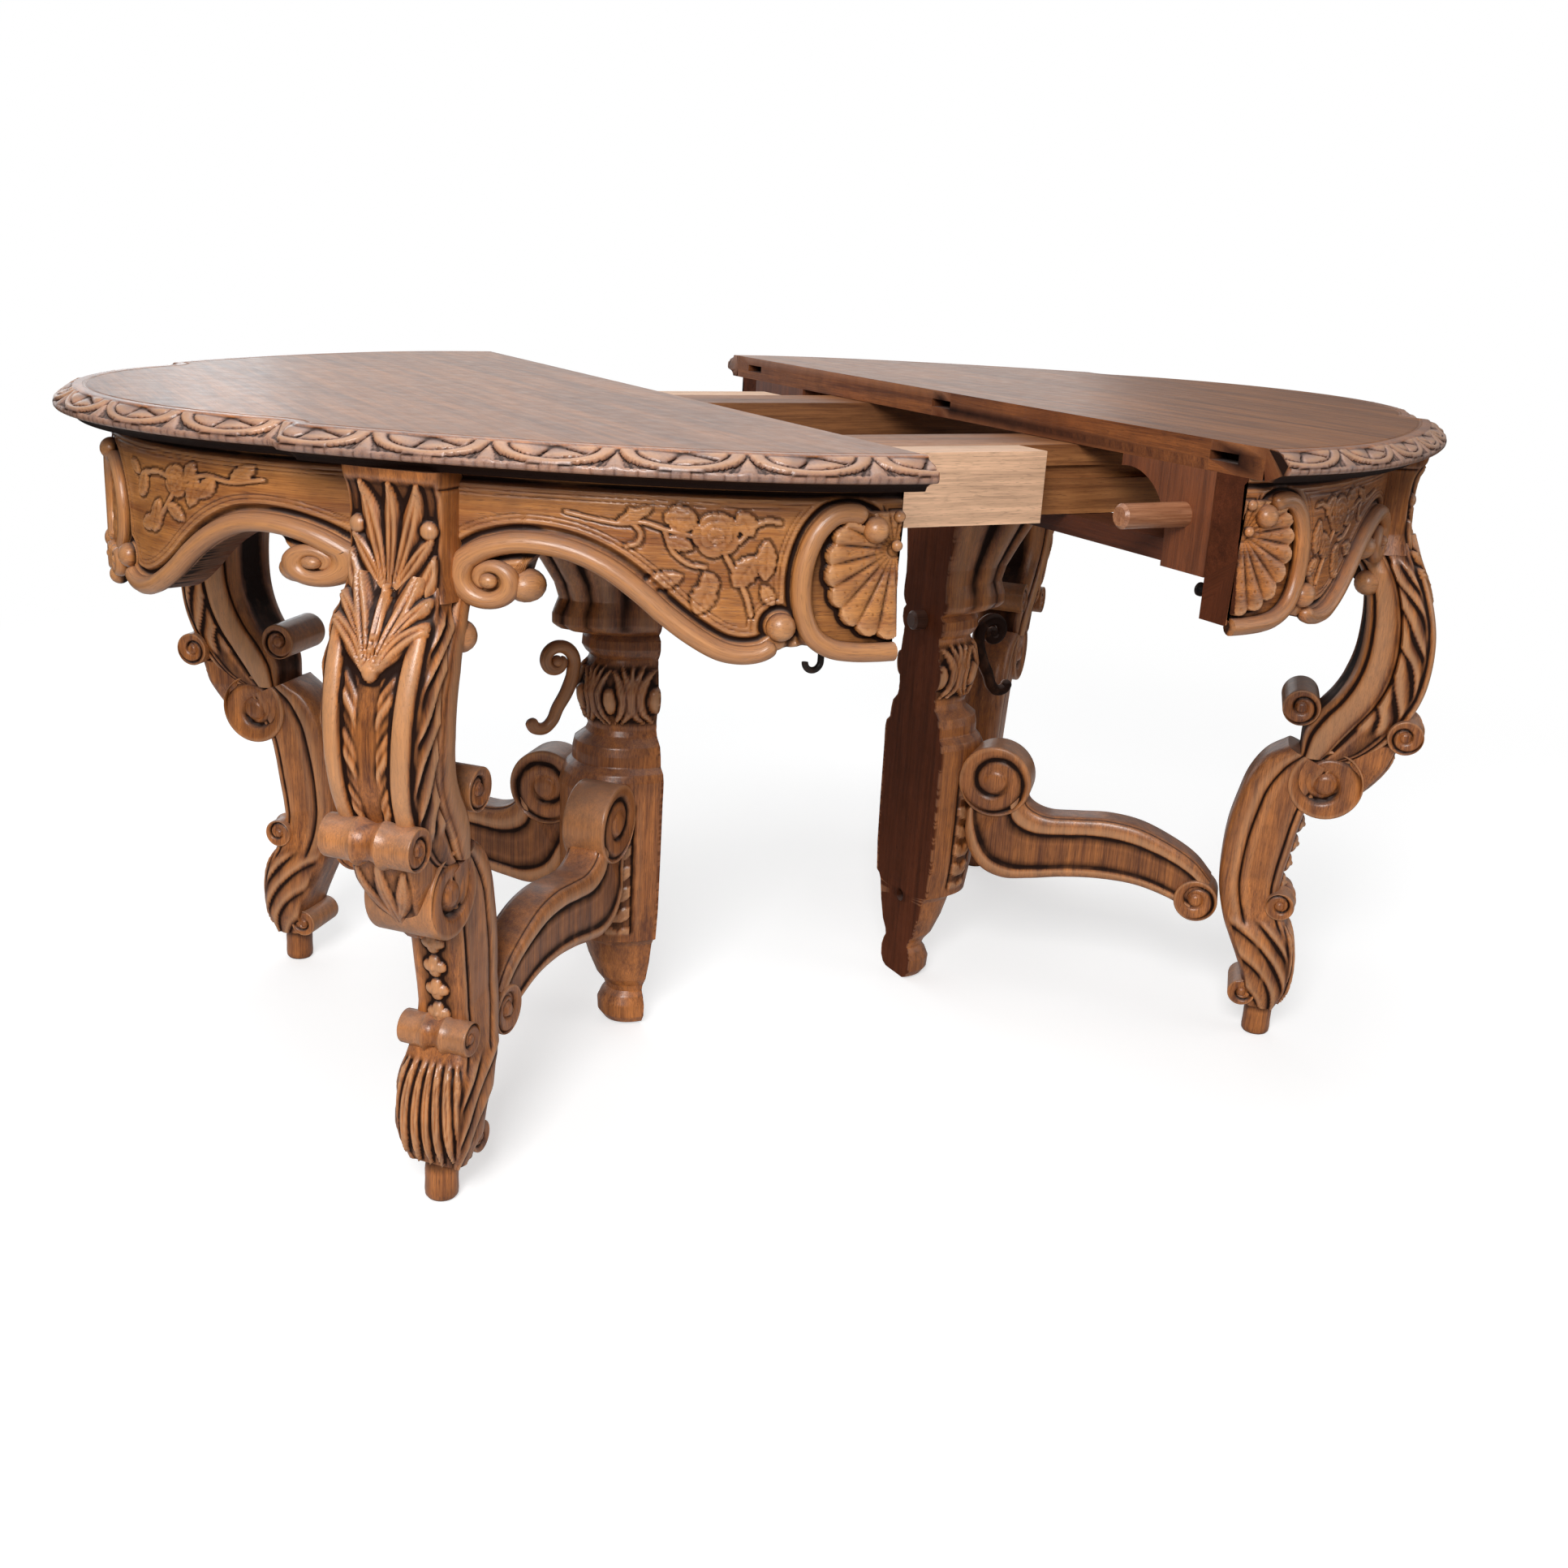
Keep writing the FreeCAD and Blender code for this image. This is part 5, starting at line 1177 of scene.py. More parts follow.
class TABLE_OT_aprons(bpy.types.Operator):
    """Six carved aprons: a bent board with its relief, a rib with a scroll, balls and a fan"""

    bl_idname = "table.aprons"
    bl_label = "Aprons"

    def execute(self, context):
        for side in (-1, 1):
            # The left half's aprons take the paler golden oak and the right half's the darker leg
            # oak: painted light and shade between the halves.
            oak = bpy.data.materials["golden_carving" if side < 0 else "polished_carving"]
            name = half_name(side)
            for place_name, hand in hands(side):
                patches = self.side_patches(side_face(side, hand, sizes().apron_inset))
                carve(f"apron_{place_name}_{name}", side, patches, [oak])
            carve(f"apron_end_{name}", side, self.end_patches(side), [oak])
        return {"FINISHED"}

    def side_patches(self, place):
        rib = smooth_path(SIDE_RIB, 90)
        border = smooth_path(SIDE_FRAME, 60)
        low = smooth_path(SIDE_EDGE, 200)

        def relief(a, z):
            to_rib, _ = nearest(a, z, rib)
            to_border, _ = nearest(a, z, border)
            to_ball = np.hypot(a - SIDE_DROP[0], z - SIDE_DROP[1]) - SIDE_DROP[2]
            panel = np.minimum(to_rib - sizes().rib, np.minimum(to_border - 0.0072, to_ball))
            panel = np.minimum(panel, np.minimum(PANEL_TOP - z, SIDE_PANEL_END - a))
            spray = rose(a, z, 0.158, 0.6870, 0.0185, 0.0030)
            spray = np.maximum(spray, rose(a, z, 0.186, 0.7000, 0.011, 0.0026))
            spray = np.maximum(spray, leaves(a, z, SIDE_LEAVES, 0.0022))
            spray = np.maximum(spray, stems(a, z, SIDE_STEMS, 0.0021, 0.0020))
            before_border = a < np.interp(z, border[::-1, 1], border[::-1, 0])
            cartouche = before_border & (to_border > 0.006)
            cartouche = cartouche & (a < 0.086) & (z > 0.588) & (z < 0.708)
            return np.where(cartouche, shell(a, z), sprayed(framed(panel), spray))

        patches = board(place, low, (0.0, SIDE_RUN), relief, sizes().apron_thick, 330, 112)
        tail = spiral(SIDE_SCROLL, 0.0235, 0.0060, 38, -1.3, 60)
        patches.append(rib_tube(place, rib, tail, SIDE_SWELL, 170, 1.15))
        patches += [ball(place, *row) for row in SIDE_BALLS]
        patches.append(tube(place, border, 0.0086, 1.0, flat_end=True, proud=0.0015))
        return patches + [ball(place, *row) for row in SHELL_BALLS]

    def end_patches(self, side):
        rib = smooth_path(END_RIB, 80)
        low = smooth_path(END_EDGE, 200)
        low = np.vstack([low[::-1] * (-1, 1), low[1:]])
        place = end_face(side, 1, sizes().apron_inset)

        def relief(a, z):
            b = np.abs(a)
            to_rib, _ = nearest(b, z, rib)
            to_ball = np.hypot(b - END_DROP[0], z - END_DROP[1]) - END_DROP[2]
            centre = np.hypot(b / 0.046, (z - 0.6350) / 0.0640) - 1
            panel = np.minimum(np.minimum(to_rib - sizes().rib, to_ball), centre * 0.046)
            panel = np.minimum(panel, np.minimum(PANEL_TOP - z, END_PANEL_END - b))
            spray = rose(b, z, 0.146, 0.6900, 0.0150, 0.0028)
            spray = np.maximum(spray, leaves(b, z, END_LEAVES, 0.0022))
            spray = np.maximum(spray, stems(b, z, END_STEMS, 0.0021, 0.0020))
            high = z - FAN_FOCUS_HIGH
            rho = np.hypot(b, high)
            angle = np.degrees(np.arctan2(high, b))
            flute = np.abs(np.sin(np.pi * (angle + 90) / 18)) ** 0.7
            fan = -0.003 + 0.006 * rho / 0.08 + 0.0024 * flute
            oval = np.where(rho < 0.088 + 0.004 * flute, fan, -0.005)
            return np.where(centre < -0.06, oval, sprayed(framed(panel), spray))

        patches = board(place, low, (-END_RUN, END_RUN), relief, sizes().apron_thick, 430, 108)
        tail = spiral(END_SCROLL, 0.0195, 0.0054, 38, -1.3, 60)
        volute = spiral(END_VOLUTE, 0.0035, 0.0150, 200, -1.2, 50)
        bow = smooth_path(END_BOW, 50)
        for hand in (1, -1):
            turned = end_face(side, hand, sizes().apron_inset)
            patches.append(rib_tube(turned, rib, tail, END_SWELL, 160, 1.1))
            patches += [ball(turned, *row) for row in END_BALLS]
            patches.append(tube(turned, volute, 0.0052, 1.3, proud=0.004))
            patches.append(tube(turned, bow, 0.0066, 1.1, proud=0.002))
            patches.append(ball(turned, *END_VOLUTE, 0.0060, 0.006))
        return patches + [ball(place, *row) for row in END_MIDDLE_BALLS]


# The legs


# Lines of the side view, as (out, z), and half widths, as (z, half width).
BLOCK_OUTER = (
    (0.5520, 0.7295), (0.5500, 0.7200), (0.5440, 0.7080), (0.5415, 0.6950), (0.5410, 0.6700),
    (0.5430, 0.6450), (0.5470, 0.6200),
)
BLOCK_INNER = (
    (0.4550, 0.7295), (0.4550, 0.7200), (0.4550, 0.7080), (0.4550, 0.6950), (0.4550, 0.6700),
    (0.4560, 0.6450), (0.4650, 0.6150),
)
KNEE_OUTER = (
    (0.5450, 0.6400), (0.5560, 0.6120), (0.5690, 0.5850), (0.5800, 0.5560), (0.5870, 0.5240),
    (0.5885, 0.4900), (0.5850, 0.4580), (0.5740, 0.4280), (0.5560, 0.4000), (0.5360, 0.3800),
    (0.5150, 0.3700),
)
KNEE_INNER = (
    (0.4780, 0.6200), (0.4960, 0.6020), (0.5070, 0.5800), (0.5120, 0.5520), (0.5130, 0.5240),
    (0.5110, 0.4960), (0.5040, 0.4700), (0.4920, 0.4460), (0.4760, 0.4240), (0.4650, 0.4000),
    (0.4640, 0.3720),
)
SHANK_OUTER = (
    (0.5050, 0.3560), (0.4960, 0.3280), (0.4840, 0.3050), (0.4780, 0.2780), (0.4740, 0.2500),
    (0.4690, 0.2180), (0.4680, 0.1900), (0.4780, 0.1620), (0.4900, 0.1330), (0.4950, 0.1020),
    (0.4930, 0.0700), (0.4820, 0.0420),
)
SHANK_INNER = (
    (0.4520, 0.3800), (0.4280, 0.3640), (0.4120, 0.3380), (0.4030, 0.3060), (0.3960, 0.2700),
    (0.3940, 0.2300), (0.3960, 0.1920), (0.4050, 0.1560), (0.4160, 0.1300), (0.4270, 0.1060),
    (0.4370, 0.0800), (0.4460, 0.0440),
)
LEG_WIDE = (
    (0.730, 0.0475), (0.712, 0.0465), (0.640, 0.0460), (0.600, 0.0540), (0.560, 0.0545),
    (0.500, 0.0510), (0.450, 0.0450), (0.400, 0.0400), (0.350, 0.0330), (0.300, 0.0315),
    (0.215, 0.0295), (0.180, 0.0330), (0.140, 0.0395), (0.100, 0.0400), (0.070, 0.0370),
    (0.044, 0.0280),
)
DROP_OUTER = (
    (0.5760, 0.3960), (0.5660, 0.3660), (0.5500, 0.3400), (0.5320, 0.3160), (0.5140, 0.2960),
)
DROP_INNER = (
    (0.5200, 0.3900), (0.5140, 0.3600), (0.5060, 0.3360), (0.4980, 0.3160), (0.4900, 0.2960),
)
DROP_WIDE = ((0.396, 0.0340), (0.366, 0.0330), (0.330, 0.0230), (0.296, 0.0080))
# Rolls across a leg: out, z, radius, half width, turns, first angle, way, bead and depth.
LEG_SCROLLS = (
    (0.5760, 0.4100, 0.0200, 0.0460, 1.0, 200, 1, -0.16, 1.0),
    (0.4590, 0.4310, 0.0215, 0.0400, 1.0, 20, -1, 0.0, 1.0),
    (0.4990, 0.3400, 0.0425, 0.0355, 1.0, 150, -1, 0.0, 0.8),
    (0.4690, 0.1810, 0.0170, 0.0370, 0.8, 90, 1, -0.16, 1.0),
    (0.4400, 0.0610, 0.0165, 0.0320, 0.8, 20, 1, 0.0, 1.0),
)
KNEE_BALL = (0.5080, 0.5860, 0.0150)
KNEE_BALL_OUT = 0.046
FOOT_OUT = 0.464
FOOT_PROFILE = (
    (0.0, 0.0), (0.010, 0.0), (0.0145, 0.0008), (0.0165, 0.0035), (0.0170, 0.0090),
    (0.0166, 0.0200), (0.0168, 0.0300), (0.0160, 0.0380), (0.0150, 0.0440), (0.0, 0.0460),
)


def drop_relief(run, s, p, q):
    """The tongue under the knee's roll: an incised leaf on its face, and a rim."""
    x = np.abs(s)
    rows = ((((0.000, 0.012), (0.000, 0.050), (0.000, 0.105)), 0.0090, 0.25),
            (((0.002, 0.080), (0.012, 0.060), (0.020, 0.036), (0.024, 0.016)), 0.0075, 0.20))
    return step(q, 0.85, 0.10) * (plumes(x, run, rows, 0.0026) - 0.0010)


def block_relief(run, s, p, q):
    """The leg's block: a palmette of a stem and side leaves, and a ring of mouldings."""
    front = step(q, 0.93, 0.06)
    x = np.abs(s)
    rows = (
        (((0.0000, 0.104), (0.0000, 0.064), (0.0000, 0.014)), 0.0105, 0.15),
        (((0.0040, 0.104), (0.0110, 0.076), (0.0190, 0.046), (0.0270, 0.014)), 0.0120, 0.15),
        (((0.0060, 0.104), (0.0180, 0.086), (0.0290, 0.070), (0.0370, 0.060)), 0.0105, 0.20),
        (((0.0210, 0.124), (0.0300, 0.106), (0.0370, 0.090), (0.0400, 0.074)), 0.0135, 0.10),
    )
    carving = plumes(x, run, rows, 0.0062)
    button = 0.0066 * dome(np.hypot(x - 0.0345, run - 0.052) / 0.0085)
    frame_line = groove(0.0440 - x, 0.0010, 0.0012)
    face = front * (np.maximum(carving, button) - 0.0020 + frame_line) * step(run, 0.012, 0.01)
    side = step(np.abs(p), 0.95, 0.05) * groove(run - 0.016, 0.0015, 0.0012)
    return face + side


def knee_relief(run, s, p, q):
    """The knee: side beads that draw together, a crescent strip, acanthus and flat cheeks."""
    front = step(q, 0.90, 0.08)
    x = np.abs(s)
    share = np.clip(run / 0.27, 0, 1)
    bead_at = 0.0415 - 0.0140 * share
    bead = 0.0066 * dome((x - bead_at) / 0.0100) * step(run, 0.036, 0.012)
    beside = groove(x - bead_at + 0.0100, 0.0016, 0.0024)
    strip = groove(x - 0.0085, 0.0011, 0.0018) * step(run, 0.085, 0.01)
    spot = (run - 0.080) / 0.028
    crescent = groove(np.hypot(x / 0.006, (spot - np.round(spot)) * 2.4 + 0.6) - 0.7, 0.20, 0.0024)
    crescent = crescent * (x < 0.0075) * (run > 0.095) * (run < 0.22)
    slant = run * 21 + (x - 0.010) * 46 - 900 * np.clip(x - 0.010, 0, 1) ** 2
    phase = slant % 1
    fine = 0.0006 * np.cos(slant * 6 * np.pi)
    in_leaf = step(x, 0.0100, 0.003) * step(bead_at - 0.0115 - x, 0.0, 0.003)
    acanthus = in_leaf * (0.0004 + fine + 0.0036 * phase * step(1 - phase, 0.16, 0.32))
    rows = (
        (((0.0000, 0.084), (0.0000, 0.050), (0.0000, 0.010)), 0.0105, 0.20),
        (((0.0030, 0.084), (0.0110, 0.056), (0.0200, 0.030), (0.0270, 0.006), (0.0310, -0.018)),
         0.0130, 0.10),
        (((0.0060, 0.084), (0.0180, 0.064), (0.0320, 0.050), (0.0430, 0.044), (0.0520, 0.052)),
         0.0130, 0.15),
        (((0.0150, 0.056), (0.0280, 0.036), (0.0400, 0.022), (0.0480, 0.020)), 0.0105, 0.20),
    )
    pendant = plumes(x, run, rows, 0.0090)
    pendant = np.maximum(pendant, 0.0085 * dome(np.hypot(x, (run - 0.082) * 0.8) / 0.0090))
    dots = 0.0020 * dome(np.hypot(x, run - 0.066) / 0.0030)
    dots = dots + 0.0020 * dome(np.hypot(x, run - 0.056) / 0.0026)
    under = bead + beside + strip + crescent + acanthus - 0.0015
    face = np.maximum(under, (pendant + dots) * (pendant > 0) - 0.0010)
    cheek = step(np.abs(p), 0.93, 0.05)
    curve = (run * 24 - q * 1.5 - 0.5 * q * q + 0.10 * np.sin(run * 90)) % 1
    leafy = step(q, 0.10, 0.08) * step(run, 0.030, 0.02) * step(0.245 - run, 0.0, 0.02)
    clump = 0.0004 + 0.0048 * curve * step(1 - curve, 0.14, 0.28)
    band = 0.0052 * dome((q + 0.36) / 0.40)
    band = band + groove(q - 0.07, 0.06, 0.0034) + groove(q + 0.80, 0.05, 0.0016)
    side = cheek * (leafy * clump + (1 - leafy) * band - 0.0020)
    rear = step(-q, 0.90, 0.08) * -0.0025 * dome(x / 0.030)
    return front * face + side + rear


def shank_relief(run, s, p, q):
    """The shank: a line by its inner edge, florets down its front, and leaf ribs at the foot."""
    front = step(q, 0.90, 0.08)
    x = np.abs(s)
    foot = step(run, 0.215, 0.02)
    spot = (run - 0.082) / 0.026
    near = np.hypot(s / 0.0125, (spot - np.round(spot)) * 0.026 / 0.0125)
    turn = np.arctan2((spot - np.round(spot)) * 0.026, s)
    floret = 0.0062 * dome(near / (0.72 + 0.28 * np.abs(np.cos(2 * turn))))
    floret = (floret + 0.0020 * dome(near / 0.25)) * (run > 0.068) * (run < 0.170)
    rows = (
        (((0.0000, 0.196), (0.0000, 0.250), (0.0000, 0.322)), 0.0075, 0.10),
        (((0.0060, 0.196), (0.0110, 0.250), (0.0130, 0.322)), 0.0075, 0.10),
        (((0.0160, 0.200), (0.0225, 0.250), (0.0260, 0.314)), 0.0080, 0.10),
        (((0.0260, 0.210), (0.0340, 0.250), (0.0370, 0.300)), 0.0070, 0.10),
    )
    ribs = foot * (plumes(x, run, rows, 0.0058) - 0.0022)
    cheek = step(np.abs(p), 0.93, 0.05)
    line = cheek * (1 - foot) * groove((q + 0.34) * 0.036, 0.0019, 0.0030)
    flat = groove((q - 0.74) * 0.036, 0.0017, 0.0016) - 0.0008 * step(q + 0.34, 0.0, 0.06)
    flat = cheek * (1 - foot) * flat
    curve = (run * 24 - q * 1.1 - 0.5 * q * q) % 1
    curls = cheek * foot * (0.0040 * curve * step(1 - curve, 0.16, 0.32) - 0.0010)
    return front * (floret + ribs) + line + flat + curls


class TABLE_OT_legs(bpy.types.Operator):
    """Four carved legs: block, knee and shank as members between two lines, with rolls"""

    bl_idname = "table.legs"
    bl_label = "Legs"

    def execute(self, context):
        oak = bpy.data.materials["polished_carving"]
        for side in (-1, 1):
            name = half_name(side)
            for place_name, hand in hands(side):
                place = leg_place(side, hand)
                carve(f"leg_{place_name}_{name}", side, self.patches(place), [oak])
                carve(f"foot_{place_name}_{name}", side, [self.foot(place)], [oak], kind="turned")
        return {"FINISHED"}

    def patches(self, place):
        made = [
            member(place, BLOCK_OUTER, BLOCK_INNER, LEG_WIDE, block_relief, 84, 132, 9.0),
            member(place, KNEE_OUTER, KNEE_INNER, LEG_WIDE, knee_relief, 190, 132, 5.0),
            member(place, SHANK_OUTER, SHANK_INNER, LEG_WIDE, shank_relief, 220, 108, 5.0),
        ]
        made += [scroll(place, *row) for row in LEG_SCROLLS]
        made.append(member(place, DROP_OUTER, DROP_INNER, DROP_WIDE, drop_relief, 60, 72, 4.0))
        for way in (1, -1):
            made.append(ball(
                lambda a, z, out: place(a, way * (KNEE_BALL_OUT + out), z), *KNEE_BALL
            ))
        return made

    def foot(self, place):
        """The turned peg: a lathe profile with rounded edges."""
        profile = np.array(FOOT_PROFILE)
        around = np.linspace(0, 2 * np.pi, 40, endpoint=False)[None]
        radius, z = profile[:, :1], profile[:, 1:] + 0 * around
        r = FOOT_OUT + radius * np.cos(around)
        s = radius * np.sin(around)
        # Darker up under the leg and down at the floor: painted shade, with some dirt.
        dirt_and_shade = np.clip((z - 0.030) / 0.012, 0, 1) * 0.7 + np.clip(1 - z / 0.004, 0, 1) * 0.5
        return patch(place(r, s, z), (z, r, s), hollow=dirt_and_shade, wrap=True)


# The stretchers


BAR_TOP = (
    (0.1250, 0.3150), (0.1480, 0.2820), (0.1560, 0.2620), (0.1800, 0.2520), (0.2150, 0.2540),
    (0.2550, 0.2570), (0.2950, 0.2520), (0.3350, 0.2360), (0.3650, 0.2180), (0.3860, 0.1960),
)
BAR_LOW = (
    (0.0780, 0.2400), (0.0800, 0.2050), (0.1000, 0.1720), (0.1300, 0.1600), (0.1650, 0.1640),
    (0.2050, 0.1720), (0.2500, 0.1770), (0.2950, 0.1760), (0.3350, 0.1660), (0.3620, 0.1540),
)
BAR_WIDE = ((0.330, 0.0200), (0.252, 0.0200), (0.236, 0.0238), (0.100, 0.0238))
BAR_SCROLLS = (
    (0.1115, 0.2880, 0.0455, 0.0258, 1.5, 180, -1, 0.0, 0.4),
    (0.3710, 0.1690, 0.0262, 0.0258, 1.0, 60, -1, 0.0, 1.0),
)


def bar_relief(run, s, p, q):
    """A stretcher's bar: lines beside its edges, a hollow between them, and lines along its top."""
    cheek = step(np.abs(p), 0.93, 0.05)
    line = groove((q - 0.45) * 0.040, 0.0018, 0.0020) + groove((q + 0.62) * 0.040, 0.0018, 0.0016)
    hollow = -0.0022 * step(0.45 - q, 0.0, 0.06) * step(q + 0.62, 0.0, 0.06)
    top = step(q, 0.90, 0.08)
    edges = groove(np.abs(s) - 0.0185, 0.0009, 0.0012)
    return cheek * (line + hollow) + top * edges


class TABLE_OT_stretchers(bpy.types.Operator):
    """Four scrolled stretchers: a bar between two lines, with a volute at each end"""

    bl_idname = "table.stretchers"
    bl_label = "Stretchers"

    def execute(self, context):
        oak = bpy.data.materials["polished_carving"]
        for side in (-1, 1):
            name = half_name(side)
            for place_name, hand in hands(side):
                place = leg_place(side, hand)
                patches = [member(place, BAR_TOP, BAR_LOW, BAR_WIDE, bar_relief, 200, 100, 6.0)]
                patches += [scroll(place, *row) for row in BAR_SCROLLS]
                carve(f"stretcher_{place_name}_{name}", side, patches, [oak])
        return {"FINISHED"}


# The half columns


# Rows of a column's profile: the shares of its height, of its half width and of its depth.
COLUMN_SHARES = (
    (0.000, 0.30, 0.28), (0.006, 0.42, 0.37), (0.020, 0.50, 0.44), (0.042, 0.51, 0.45),
    (0.060, 0.45, 0.40), (0.070, 0.39, 0.35), (0.082, 0.42, 0.38), (0.100, 0.54, 0.47),
    (0.140, 0.66, 0.58), (0.182, 0.74, 0.66), (0.192, 0.80, 0.74), (0.198, 0.90, 0.88),
    (0.262, 0.96, 0.94), (0.360, 0.98, 0.97), (0.475, 0.99, 0.98), (0.492, 1.00, 0.99),
    (0.512, 1.00, 0.95), (0.526, 0.97, 0.90), (0.536, 0.86, 0.84), (0.556, 0.84, 0.84),
    (0.573, 0.80, 0.82), (0.588, 0.66, 0.69), (0.600, 0.62, 0.66), (0.630, 0.66, 0.74),
    (0.672, 0.69, 0.80), (0.710, 0.65, 0.74), (0.731, 0.60, 0.66), (0.740, 0.66, 0.72),
    (0.750, 0.69, 0.76), (0.767, 0.68, 0.75), (0.776, 0.60, 0.72), (0.780, 0.64, 0.90),
    (0.786, 0.68, 1.06), (0.796, 0.71, 1.14), (0.812, 0.71, 1.14), (0.840, 0.68, 1.06),
    (0.870, 0.69, 1.12), (0.910, 0.74, 1.28), (0.955, 0.80, 1.48), (1.000, 0.87, 1.66),
)
COLUMN_HALF_WIDE, COLUMN_DEEP = 0.068, 0.098
SECTION_POWER = 0.86
# The pocket in each column's split face, by side: its height and radius.
POCKETS = {1: (0.110, 0.0080), -1: (0.480, 0.0130)}
POCKET_DEEP = 0.020
HANDLE_EYE = (0.1080, 0.4580)
HANDLE_STEM = (
    (0.0890, 0.4380), (0.0960, 0.4200), (0.1060, 0.4030), (0.1120, 0.3890), (0.1220, 0.3800),
    (0.1340, 0.3820), (0.1390, 0.3930),
)
HANDLE_SHARES = (0, 0.3, 0.6, 0.85, 1)
HANDLE_RADII = (0.0058, 0.0076, 0.0080, 0.0070, 0.0078)


def column_relief(angle, share):
    """Carving of a half column, from the angle round it (0 in front) and the share of its height.

    The block carries a strip of leaves between upright lines on each side, the vase buds that
    leaves close round, and the capital deep flutes that swell upwards.
    """
    x = angle * 0.060
    y = share * COLUMN_TOP
    in_block = step(share, 0.215, 0.01) * step(0.470 - share, 0.0, 0.01)
    from_strip = np.abs(np.abs(angle) - 1.06) * 0.072
    strip = groove(from_strip - 0.0150, 0.0014, 0.0026) - 0.0010 * (from_strip < 0.0150)
    spot = (y - 0.150) / 0.026
    up = (spot - np.floor(spot)) * 0.026
    chain = leaves(from_strip, up, ((0.000, 0.002, 56, 0.022, 0.0075),), 0.0036)
    block = in_block * (strip + chain * (from_strip < 0.0140))
    in_vase = step(share, 0.610, 0.01) * step(0.722 - share, 0.0, 0.01)
    low = 0.612 * COLUMN_TOP
    beside = np.abs(x - 0.047 * np.round(x / 0.047))
    rows = (
        (((0.0040, 0.002), (0.0120, 0.014), (0.0150, 0.032), (0.0100, 0.052), (0.0020, 0.064)),
         0.0062, 0.12),
        (((0.0100, 0.000), (0.0200, 0.012), (0.0225, 0.030), (0.0190, 0.050), (0.0120, 0.068)),
         0.0062, 0.12),
        (((0.0235, 0.010), (0.0235, 0.040), (0.0235, 0.068)), 0.0050, 0.15),
    )
    vase = plumes(beside, y - low, rows, 0.0048)
    bud = 0.0075 * dome(np.hypot(beside / 0.0082, (y - low - 0.028) / 0.016))
    in_cap = step(share, 0.786, 0.012)
    flute_deep = 0.0034 + 0.0050 * np.clip((share - 0.79) / 0.21, 0, 1)
    flute = ((0.5 + 0.5 * np.cos(angle * 13)) ** 0.7 - 0.5) * flute_deep
    return block + in_vase * (np.maximum(vase, bud) - 0.0015) + in_cap * flute


